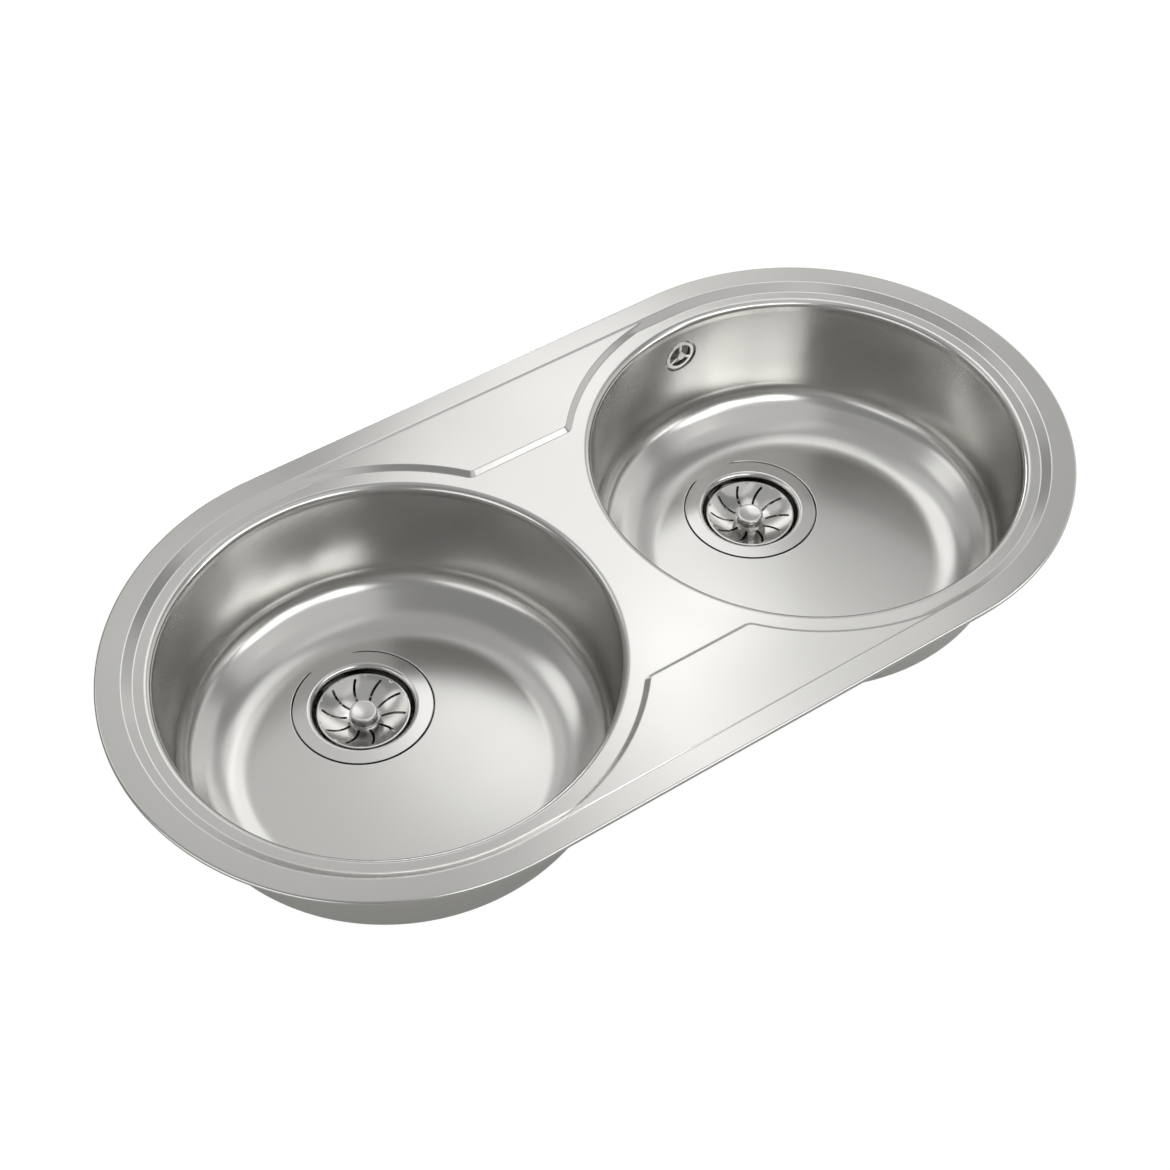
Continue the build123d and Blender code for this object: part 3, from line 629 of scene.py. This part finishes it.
def swirl(waste):
    """Middle line of a strainer slot: an arc from its inner end, swept back, to its outer end."""
    inner, outer = waste.slot_inner_r, waste.slot_outer_r
    ends = [Vector((r * cos(t), r * sin(t))) for r, t in
            ((inner, waste.slot_turn), ((inner + outer) / 2, waste.slot_turn), (outer, 0))]
    (ax, ay), (bx, by), (cx, cy) = ends
    double = 2 * (ax * (by - cy) + bx * (cy - ay) + cx * (ay - by))
    centre = Vector((((ax ** 2 + ay ** 2) * (by - cy) + (bx ** 2 + by ** 2) * (cy - ay)
                      + (cx ** 2 + cy ** 2) * (ay - by)) / double,
                     ((ax ** 2 + ay ** 2) * (cx - bx) + (bx ** 2 + by ** 2) * (ax - cx)
                      + (cx ** 2 + cy ** 2) * (bx - ax)) / double))
    start = ends[0] - centre
    sweep = start.angle_signed(ends[2] - centre)
    return [centre + Vector((start.x * cos(t) + start.y * sin(t), start.y * cos(t) - start.x * sin(t)))
            for t in (sweep * i / 12 for i in range(13))]


def sector(name, outline, copies, steps, hole, reach):
    """Mesh of one of several like sectors of a turned sheet, with a hole in its part within reach."""
    skin = Skin()
    half = pi / copies
    turns = [-half + 2 * half * i / steps for i in range(steps + 1)]
    rings = [[skin.point((r * cos(t), r * sin(t), z), (out * cos(t), out * sin(t), up)) for t in turns]
             for (r, z), (out, up) in outline]
    inner = [ring for ring, spot in zip(rings, outline) if spot[0].x <= reach * 1.0001]
    for lower, upper in zip(rings[len(inner) - 1:], rings[len(inner):]):
        for i in range(steps):
            skin.face([lower[i], lower[i + 1], upper[i + 1], upper[i]])
    for spot in hole:
        z, (out, up) = reading(outline, spot.length)
        way = spot.normalized() * out
        skin.point((spot.x, spot.y, z), (way.x, way.y, up))
    names = [i for ring in inner for i in ring]
    names += range(len(skin.points) - len(hole), len(skin.points))
    place = {name: spot for spot, name in enumerate(names)}
    wedge = inner[-1] + [ring[-1] for ring in reversed(inner[:-1])]
    wedge += inner[0][-2::-1] + [ring[0] for ring in inner[1:-1]]
    loops = [[place[i] for i in wedge], list(range(len(names) - len(hole), len(names)))]
    found = delaunay_2d_cdt([skin.points[i].xy for i in names], [], loops, 0, 1e-9)
    for triangle, origin in zip(found[2], found[5]):
        if origin == [0]:
            skin.face([names[found[3][i][0]] for i in triangle])
    return skin.mesh(name)


def dish_outline(waste):
    """Strainer from the stem's hole over the hub, the dish and the lip to the end of its skirt."""
    top, dish_r = -waste.basket_z, waste.basket_r - waste.basket_lip
    low = top - waste.dish_depth
    rise = (dish_r ** 2 - waste.hub_r ** 2 - waste.dish_depth ** 2) / (2 * waste.dish_depth)
    ball = hypot(dish_r, rise)
    # The flat middle ends just before the dish starts, so that it shades flat.
    outline = [(Vector((reach, low)), Vector((0, 1))) for reach in (waste.stem_r, waste.hub_r * 0.98)]
    for i in range(15):
        reach = waste.hub_r + (dish_r - waste.hub_r) * i / 14
        depth = sqrt(ball ** 2 - reach ** 2)
        outline.append((Vector((reach, top + rise - depth)), Vector((-reach, depth)) / ball))
    edge = rounded([(dish_r + 0.3 * MM, top), (waste.basket_r, top),
                    (waste.basket_r, top - waste.basket_skirt)], [waste.basket_round])
    return outline + edge


def cup_outline(bowl, waste):
    """Waste cup from the screw's hole over its floor, wall and mouth to the edge of its flange."""
    top, low = -bowl.floor_z, -bowl.floor_z - waste.cup_depth
    corners = [(waste.screw_r, low), (waste.cup_r, low), (waste.cup_r, top), (waste.flange_r, top)]
    return held(rounded(corners, [waste.cup_foot, waste.mouth_round], 9), 0.3 * MM)


def knob_skin(waste):
    """Mushroom knob with a shallow cone in its cap, about the origin's axis."""
    top, low = -waste.basket_z, -waste.basket_z - waste.dish_depth
    under = top - waste.cap_thickness
    outline = rounded([(0, top - waste.cap_dimple), (waste.cap_r - 2 * waste.cap_round, top),
                       (waste.cap_r, top), (waste.cap_r, under), (waste.neck_r, under),
                       (waste.neck_r, low + waste.foot), (waste.foot_r, low + waste.foot),
                       (waste.foot_r, low), (0, low)],
                      [waste.cap_round] * 3 + [waste.neck_round] * 2 + [0.3 * MM, 0.1 * MM], 5)
    skin = Skin()
    first, last = skin.lathe(outline[1:-1], (0, 0), 72)
    skin.pole(first, (0, 0, top - waste.cap_dimple), (0, 0, 1))
    skin.pole(last, (0, 0, low), (0, 0, -1))
    return skin


def clip_core(clip):
    """Clip screw about the origin's axis, with its head, its two collars and the thread's core."""
    tab_low = -clip.tab_depth - clip.tab
    low = tab_low - clip.reach
    core, shaft = clip.screw_r - clip.thread_depth, clip.screw_r
    collar, head = clip.collar_r, clip.head_r
    under, over = tab_low - clip.play, -clip.tab_depth + clip.play
    outline = rounded([(0, low - clip.head), (head, low - clip.head), (head, low), (core, low),
                       (core, under - clip.collar), (collar, under - clip.collar), (collar, under),
                       (shaft, under), (shaft, over), (collar, over), (collar, over + clip.collar),
                       (shaft, over + clip.collar), (shaft, low + clip.rise), (0, low + clip.rise)],
                      [clip.head_round] + [0.2 * MM] * 10 + [0.5 * MM], 3)
    outline = [(spot, -normal) for spot, normal in outline]
    skin = Skin()
    first, last = skin.lathe(outline[1:-1], (0, 0), 40)
    skin.pole(first, (0, 0, low - clip.head), (0, 0, -1))
    skin.pole(last, (0, 0, low + clip.rise), (0, 0, 1))
    return skin


def outlet_core(waste):
    """Outlet tube about the origin's axis, with the thread's core as its outside."""
    inner, outer = waste.outlet_bore, waste.outlet_r - waste.outlet_thread
    low, top = -waste.outlet_z, -waste.outlet_top
    middle = (low + top) / 2
    outline = rounded([(inner, middle), (inner, top), (waste.outlet_r, top),
                       (waste.outlet_r, top - waste.outlet_plain), (outer, top - waste.outlet_plain),
                       (outer, low), (inner, low), (inner, middle)], [0.3 * MM] * 6, 3)
    skin = Skin()
    first, last = skin.lathe(outline[:-1], (0, 0), 96)
    skin.strip(last, first)
    return skin


# Node trees. Geometry Nodes make what repeats.


def add(tree, kind, settings=None, output=0, **inputs):
    """Adds a node, sets or links its inputs by name or number, and returns one of its outputs."""
    made = tree.nodes.new(kind)
    for name, value in (settings or {}).items():
        setattr(made, name, value)
    for name, value in inputs.items():
        socket = made.inputs[int(name[1:])] if name[0] == "_" else made.inputs[name.replace("_", " ")]
        if isinstance(value, bpy.types.NodeSocket):
            tree.links.new(value, socket)
        else:
            socket.default_value = value
    return made.outputs[output] if made.outputs else None


def maths(tree, operation, *values):
    """Result of a Math node on numbers or outputs."""
    numbered = {f"_{i}": value for i, value in enumerate(values)}
    return add(tree, "ShaderNodeMath", {"operation": operation}, **numbered)


def new_tree(name, *sockets):
    """An empty Geometry Nodes tree with named inputs, and one geometry output."""
    tree = bpy.data.node_groups.new(name, "GeometryNodeTree")
    for label, kind in sockets:
        tree.interface.new_socket(label, in_out="INPUT", socket_type="NodeSocket" + kind)
    tree.interface.new_socket("Geometry", in_out="OUTPUT", socket_type="NodeSocketGeometry")
    return tree, add(tree, "NodeGroupInput").node.outputs


def turned_copies():
    """Tree that repeats a sector round an upright axis and joins the copies into one sheet."""
    tree, given = new_tree("Turned copies", ("Sector", "Geometry"), ("Copies", "Int"), ("Start", "Float"),
                           ("Axis", "Vector"), ("Material", "Material"))
    number = add(tree, "GeometryNodeInputIndex")
    step = maths(tree, "DIVIDE", 2 * pi, given["Copies"])
    turn = maths(tree, "MULTIPLY_ADD", number, step, given["Start"])
    spin = add(tree, "ShaderNodeCombineXYZ", Z=turn)
    spots = add(tree, "GeometryNodePoints", Count=given["Copies"], Position=given["Axis"])
    copies = add(tree, "GeometryNodeInstanceOnPoints", Points=spots, Instance=given["Sector"],
                 Rotation=spin)
    whole = add(tree, "GeometryNodeRealizeInstances", Geometry=copies)
    joined = add(tree, "GeometryNodeMergeByDistance", Geometry=whole, Distance=0.002 * MM)
    dressed = add(tree, "GeometryNodeSetMaterial", Geometry=joined, Material=given["Material"])
    add(tree, "NodeGroupOutput", Geometry=dressed)
    return tree


def screw_thread():
    """Tree that winds a ridge round an upright core, one pitch higher with each turn."""
    tree, given = new_tree("Screw thread", ("Core", "Geometry"), ("Turns", "Float"), ("Pitch", "Float"),
                           ("Crest", "Float"), ("Depth", "Float"), ("Start", "Vector"),
                           ("Material", "Material"))
    middle = maths(tree, "SUBTRACT", given["Crest"], given["Depth"])
    height = maths(tree, "MULTIPLY", given["Turns"], given["Pitch"])
    helix = add(tree, "GeometryNodeCurveSpiral", _0=24, _1=given["Turns"], _2=middle, _3=middle, _4=height)
    upright = add(tree, "GeometryNodeSetCurveNormal", {"mode": "Z_UP"}, Curve=helix)
    section = add(tree, "GeometryNodeCurvePrimitiveCircle", _0=4, _4=given["Depth"])
    ridge = add(tree, "GeometryNodeCurveToMesh", Curve=upright, _1=section, Fill_Caps=True)
    placed = add(tree, "GeometryNodeTransform", Geometry=ridge, Translation=given["Start"])
    both = add(tree, "GeometryNodeJoinGeometry")
    for part in (given["Core"], placed):
        tree.links.new(part, both.node.inputs[0])
    whole = add(tree, "GeometryNodeRealizeInstances", Geometry=both)
    dressed = add(tree, "GeometryNodeSetMaterial", Geometry=whole, Material=given["Material"])
    add(tree, "NodeGroupOutput", Geometry=dressed)
    return tree


TREES = {}


def grow(mesh, maker, sheet=0.0, **values):
    """Plain mesh that a tree makes of a mesh, with a sheet's thickness where one is given."""
    if maker not in TREES:
        TREES[maker] = maker()
    tree = TREES[maker]
    made = bpy.data.objects.new(mesh.name, mesh)
    bpy.context.scene.collection.objects.link(made)
    nodes = made.modifiers.new(tree.name, "NODES")
    nodes.node_group = tree
    for socket in tree.interface.items_tree:
        if socket.in_out == "INPUT" and socket.name in values:
            nodes[socket.identifier] = values[socket.name]
    if sheet:
        thick = made.modifiers.new("Sheet", "SOLIDIFY")
        thick.thickness, thick.offset, thick.use_even_offset = sheet, -1, True
    grown = bpy.data.meshes.new_from_object(made.evaluated_get(bpy.context.evaluated_depsgraph_get()))
    bpy.data.objects.remove(made)
    grown.set_sharp_from_angle(angle=radians(35))
    return grown


# Materials. Each is what the real surface is, with its grain at real size unless a comment says otherwise.


def new_material(name):
    """A material and its empty node tree."""
    made = bpy.data.materials.new(name)
    made.use_nodes = True
    made.node_tree.nodes.clear()
    return made, made.node_tree


def satin_stainless(name, shade, roughness):
    """Cold rolled stainless sheet, satin finished: a soft even mirror with very faint lines in it."""
    made, tree = new_material(name)
    place = add(tree, "ShaderNodeTexCoord", output="Object")
    # Rolling lines, 0.15 mm apart on the real sheet, drawn at 0.6 mm and very faint.
    stretch = add(tree, "ShaderNodeMapping", Vector=place, Scale=(40.0, 1600.0, 1600.0))
    lines = add(tree, "ShaderNodeTexNoise", Vector=stretch, Scale=1.0, Detail=3.0, Roughness=0.6)
    # Handling: broad patches, about 90 mm, that are a little duller.
    patches = add(tree, "ShaderNodeTexNoise", Vector=place, Scale=11.0, Detail=2.0, Roughness=0.5)
    dull = add(tree, "ShaderNodeMapRange", Value=patches, From_Min=0.35, From_Max=0.65,
               To_Min=roughness - 0.012, To_Max=roughness + 0.012)
    rough = maths(tree, "MULTIPLY_ADD", lines, 0.02, dull)
    bump = add(tree, "ShaderNodeBump", Strength=0.02, Distance=0.00002, Height=lines)
    steel = add(tree, "ShaderNodeBsdfPrincipled", Base_Color=shade, Metallic=1.0, Roughness=rough,
                Normal=bump)
    add(tree, "ShaderNodeOutputMaterial", Surface=steel)
    return made


def plain(name, shade, roughness, grain, depth, metallic=0.0):
    """A moulded, plated or turned surface with fine even grain, its size and depth in millimetres."""
    made, tree = new_material(name)
    place = add(tree, "ShaderNodeTexCoord", output="Object")
    grains = add(tree, "ShaderNodeTexNoise", Vector=place, Scale=1 / (grain * MM), Detail=3.0)
    rough = add(tree, "ShaderNodeMapRange", Value=grains, From_Min=0.3, From_Max=0.7,
                To_Min=roughness - 0.05, To_Max=roughness + 0.05)
    bump = add(tree, "ShaderNodeBump", Strength=0.4, Distance=depth * MM, Height=grains)
    surface = add(tree, "ShaderNodeBsdfPrincipled", Base_Color=shade, Metallic=metallic, Roughness=rough,
                  Normal=bump)
    add(tree, "ShaderNodeOutputMaterial", Surface=surface)
    return made


MATERIALS = {}


def finish(slot):
    """The material of one of the record's slots. The first call makes them all."""
    if not MATERIALS:
        shades = bpy.context.scene.sink_finish
        MATERIALS.update({
            "satin_steel": satin_stainless("Satin stainless sheet", shades.steel, 0.2),
            "polished_steel": satin_stainless("Polished stainless fittings", shades.fittings, 0.14),
            "zinc_steel": plain("Zinc plated steel", shades.zinc, 0.35, 0.6, 0.01, 1.0),
            "rubber": plain("Nitrile rubber", shades.rubber, 0.6, 0.3, 0.02),
            "foam_seal": plain("Closed cell foam", shades.foam, 0.9, 0.8, 0.2),
            "damping_pad": plain("Bitumen felt", shades.pad, 0.85, 1.5, 0.3),
            "white_plastic": plain("White polypropylene", shades.white, 0.4, 0.5, 0.02),
            "dark_plastic": plain("Dark polypropylene", shades.dark, 0.45, 0.5, 0.02),
            "brass": plain("Turned brass", shades.brass, 0.3, 0.4, 0.01, 1.0),
        })
    return MATERIALS[slot]


# Studio: a pale room with round soft boxes, most of them behind the sink, over a pale floor.

# Azimuth from +X, elevation and half of the angle that the box fills, seen from the sink in degrees, and
# brightness. Boxes and room light began as a program's least squares fit to the photograph. The room and
# the boxes at 0, 78, 108, 192 and 318 degrees are still close to it. The others were moved or added.
SOFT_BOXES = (
    (58, 47, 12, 0.86),
    (36, 54, 10, 0.45),
    (55, 31, 10, 0.25),
    (38, 66, 10, 0.50),
    (28, 38, 13, 0.20),
    (86, 54, 12, 0.22),
    (94, 36, 13, 0.20),
    (126, 39, 12, 0.85),
    (78, 0, 12, 3.0),
    (108, 75, 28, 0.14),
    (0, 10, 28, 0.40),
    (42, 9, 25, 0.32),
    (192, 0, 28, 0.95),
    (257, 33, 12, 1.8),
    (284, 32, 11, 1.8),
    (306, 36, 11, 1.5),
    (290, 54, 32, 0.32),
    (318, 10, 12, 2.2),
)


def soft_box(studio, number, azimuth, elevation, half, brightness):
    """A round area lamp that faces the sink, unseen by the camera."""
    lamp = bpy.data.lights.new(f"soft_box_{number}", "AREA")
    lamp.shape, lamp.size = "DISK", 2 * studio.box_reach * tan(radians(half))
    # A disc shines like plain white at four watts for each square metre.
    lamp.energy = brightness * pi * lamp.size ** 2
    made = bpy.data.objects.new(lamp.name, lamp)
    bpy.context.scene.collection.objects.link(made)
    turn, rise = radians(azimuth), radians(elevation)
    made.location = Vector((cos(rise) * cos(turn), cos(rise) * sin(turn), sin(rise))) * studio.box_reach
    made.rotation_euler = made.location.to_track_quat("Z", "Y").to_euler()
    made.visible_camera = False
    return made


def studio_world(studio):
    """The room's even light, and plain white for the camera."""
    world = bpy.data.worlds.new("Studio")
    world.use_nodes = True
    tree = world.node_tree
    tree.nodes.clear()
    seen = add(tree, "ShaderNodeLightPath", output="Is Camera Ray")
    room = add(tree, "ShaderNodeBackground", Color=(1, 1, 1, 1), Strength=studio.room)
    white = add(tree, "ShaderNodeBackground", Color=(1, 1, 1, 1), Strength=1.0)
    both = add(tree, "ShaderNodeMixShader", _0=seen, _1=room, _2=white)
    add(tree, "ShaderNodeOutputWorld", Surface=both)
    return world


def pale_floor(studio):
    """Pale seamless paper, near white to the camera, with the sink's soft shadow on it."""
    made, tree = new_material("Seamless paper")
    seen = add(tree, "ShaderNodeLightPath", output="Is Camera Ray")
    white = maths(tree, "MULTIPLY", seen, studio.floor_white)
    matt = add(tree, "ShaderNodeBsdfDiffuse", Color=studio.floor)
    glow = add(tree, "ShaderNodeEmission", Color=(1, 1, 1, 1), Strength=studio.floor_glow)
    both = add(tree, "ShaderNodeMixShader", _0=white, _1=matt, _2=glow)
    add(tree, "ShaderNodeOutputMaterial", Surface=both)
    return made


# Operators, one for each group of pieces and one for the stage.


class SINK_OT_finish_nodes(Operator):
    """Gives every CAD node the material of its slot"""

    bl_idname = "sink.finish_nodes"
    bl_label = "Finish CAD nodes"

    def execute(self, context):
        slots = {row["node"]: row["material_slot"] for row in frame["record"]["subparts"]}
        for name, node in frame["nodes"].items():
            node.data.materials.clear()
            node.data.materials.append(finish(slots[name]))
        return {"FINISHED"}


class SINK_OT_deck(Operator):
    """Builds the pressed deck"""

    bl_idname = "sink.deck"
    bl_label = "Build deck"

    def execute(self, context):
        scene = context.scene
        skin = deck_skin(scene.sink_deck, scene.sink_bowl)
        skin.sheet(scene.sink_deck.sheet)
        piece("deck_pressing", skin.mesh("deck_pressing"), "sink", "satin_steel", "deck")
        return {"FINISHED"}


class SINK_OT_bowls(Operator):
    """Builds the two deep drawn bowls"""

    bl_idname = "sink.bowls"
    bl_label = "Build bowls"

    def execute(self, context):
        scene = context.scene
        for hand, side in SIDES.items():
            skin = bowl_skin(scene.sink_deck, scene.sink_bowl, side, hand == "right")
            skin.sheet(scene.sink_deck.sheet)
            piece(f"{hand}_bowl_drawing", skin.mesh(f"{hand}_bowl_drawing"), "sink", "satin_steel",
                  f"{hand}_bowl")
        return {"FINISHED"}


class SINK_OT_waste_flanges(Operator):
    """Builds the slotted waste cups with their flanges"""

    bl_idname = "sink.waste_flanges"
    bl_label = "Build waste flanges"

    def execute(self, context):
        scene = context.scene
        bowl, waste = scene.sink_bowl, scene.sink_waste
        straight = (waste.outlet_slot_length - waste.outlet_slot_width) / 2
        ends = [Vector((waste.outlet_slot_r + reach, 0)) for reach in (-straight, straight)]
        hole = slot_loop(ends, waste.outlet_slot_width)
        for hand, side in SIDES.items():
            mesh = sector(f"{hand}_cup", cup_outline(bowl, waste), waste.outlet_slots, 12, hole,
                          waste.cup_r - waste.cup_foot)
            cup = grow(mesh, turned_copies, waste.cup_wall, Copies=waste.outlet_slots, Start=0.0,
                       Axis=(side * bowl.drain_x, bowl.drain_y, 0), Material=finish("polished_steel"))
            piece(f"{hand}_waste_cup", cup, "sink", "polished_steel", f"{hand}_waste_flange")
        return {"FINISHED"}


class SINK_OT_strainers(Operator):
    """Builds the swirl slotted strainer baskets and their knobs"""

    bl_idname = "sink.strainers"
    bl_label = "Build strainers"

    def execute(self, context):
        scene = context.scene
        bowl, waste = scene.sink_bowl, scene.sink_waste
        ahead = waste.slot_start
        spine = [Vector((x * cos(ahead) + y * sin(ahead), y * cos(ahead) - x * sin(ahead)))
                 for x, y in swirl(waste)]
        for hand, side in SIDES.items():
            drain = (side * bowl.drain_x, bowl.drain_y, 0)
            mesh = sector(f"{hand}_dish", dish_outline(waste), waste.slots, 10,
                          slot_loop(spine, waste.slot_width), waste.basket_r - waste.basket_lip)
            dish = grow(mesh, turned_copies, waste.basket_sheet, Copies=waste.slots, Start=ahead, Axis=drain,
                        Material=finish("polished_steel"))
            piece(f"{hand}_strainer_dish", dish, f"{hand}_strainer", "polished_steel", f"{hand}_basket")
            knob = knob_skin(waste).mesh(f"{hand}_strainer_knob")
            knob.transform(Matrix.Translation(drain))
            piece(f"{hand}_strainer_knob", knob, f"{hand}_strainer", "polished_steel", f"{hand}_knob")
        return {"FINISHED"}


class SINK_OT_threads(Operator):
    """Builds the threaded waste outlets and clip screws"""

    bl_idname = "sink.threads"
    bl_label = "Build threads"

    def execute(self, context):
        scene = context.scene
        bowl, waste, clip = scene.sink_bowl, scene.sink_waste, scene.sink_clip
        low = -waste.outlet_z + waste.outlet_thread
        turns = (waste.outlet_z - waste.outlet_top - waste.outlet_plain) / waste.outlet_pitch - 1
        for hand, side in SIDES.items():
            tube = grow(outlet_core(waste).mesh(f"{hand}_outlet"), screw_thread, Pitch=waste.outlet_pitch,
                        Turns=turns, Crest=waste.outlet_r, Depth=waste.outlet_thread, Start=(0, 0, low),
                        Material=finish("white_plastic"))
            tube.transform(Matrix.Translation((side * bowl.drain_x, bowl.drain_y, 0)))
            piece(f"{hand}_threaded_outlet", tube, "sink", "white_plastic", f"{hand}_waste_outlet")
        spots = [(side * clip.end_x, 0) for side in (-1, 1)]
        spots += [(side * clip.side_x, face * clip.side_y) for face in (-1, 1) for side in (-1, 1)]
        low = -clip.tab_depth - clip.tab - clip.reach + clip.thread_depth
        turns = (clip.reach - clip.play - clip.collar) / clip.pitch - 1
        for number, (x, y) in enumerate(spots, start=1):
            screw = grow(clip_core(clip).mesh(f"clip_{number}"), screw_thread, Pitch=clip.pitch, Turns=turns,
                         Crest=clip.screw_r, Depth=clip.thread_depth, Start=(0, 0, low),
                         Material=finish("zinc_steel"))
            screw.transform(Matrix.Translation((x, y, 0)))
            piece(f"clip_{number}_threaded_screw", screw, f"clip_{number}_pivot", "zinc_steel",
                  f"clip_{number}_screw")
        return {"FINISHED"}


class SINK_OT_stage(Operator):
    """Sets the floor, the studio's light and the camera"""

    bl_idname = "sink.stage"
    bl_label = "Build stage"

    def execute(self, context):
        scene = context.scene
        studio = scene.sink_studio
        scene.view_settings.view_transform = "Standard"

        lens = bpy.data.cameras.new("camera")
        lens.lens, lens.sensor_width = studio.lens, 36
        lens.clip_start, lens.clip_end = 0.05, 50
        camera = bpy.data.objects.new("camera", lens)
        scene.collection.objects.link(camera)
        camera.location = studio.camera
        camera.rotation_euler = (Vector(studio.aim) - camera.location).to_track_quat("-Z", "Y").to_euler()
        scene.camera = camera

        half = studio.floor_half
        plane = bpy.data.meshes.new("floor")
        corners = [(-half, -half, 0), (half, -half, 0), (half, half, 0), (-half, half, 0)]
        plane.from_pydata(corners, [], [range(4)])
        plane.materials.append(pale_floor(studio))
        floor = bpy.data.objects.new("floor", plane)
        scene.collection.objects.link(floor)
        floor.location.z = cad_low.z - 0.5 * MM
        scene.world = studio_world(studio)
        for number, box in enumerate(SOFT_BOXES, start=1):
            soft_box(studio, number, *box)
        return {"FINISHED"}


class SINK_PT_panel(Panel):
    """Lists the sink's operators"""

    bl_idname = "SINK_PT_panel"
    bl_label = "Kitchen Sink"
    bl_space_type = "VIEW_3D"
    bl_region_type = "UI"
    bl_category = "Sink"

    def draw(self, context):
        for operator in OPERATORS:
            self.layout.operator(operator.bl_idname)


GROUPS = {"sink_deck": SinkDeckSizes, "sink_bowl": SinkBowlSizes, "sink_waste": SinkWasteSizes,
          "sink_clip": SinkClipSizes, "sink_finish": SinkFinish, "sink_studio": SinkStudio}
OPERATORS = (SINK_OT_finish_nodes, SINK_OT_deck, SINK_OT_bowls, SINK_OT_waste_flanges, SINK_OT_strainers,
             SINK_OT_threads, SINK_OT_stage)


def register():
    """Registers the classes and hangs the settings on the scene."""
    for made in (*GROUPS.values(), *OPERATORS, SINK_PT_panel):
        bpy.utils.register_class(made)
    for name, group in GROUPS.items():
        setattr(bpy.types.Scene, name, PointerProperty(type=group))


def unregister():
    """Takes the settings and the classes away again."""
    for name in GROUPS:
        delattr(bpy.types.Scene, name)
    for made in reversed((*GROUPS.values(), *OPERATORS, SINK_PT_panel)):
        bpy.utils.unregister_class(made)


def main():
    """Builds everything."""
    register()
    bpy.ops.sink.finish_nodes()
    bpy.ops.sink.deck()
    bpy.ops.sink.bowls()
    bpy.ops.sink.waste_flanges()
    bpy.ops.sink.strainers()
    bpy.ops.sink.threads()
    bpy.ops.sink.stage()


if __name__ == "__main__":
    main()
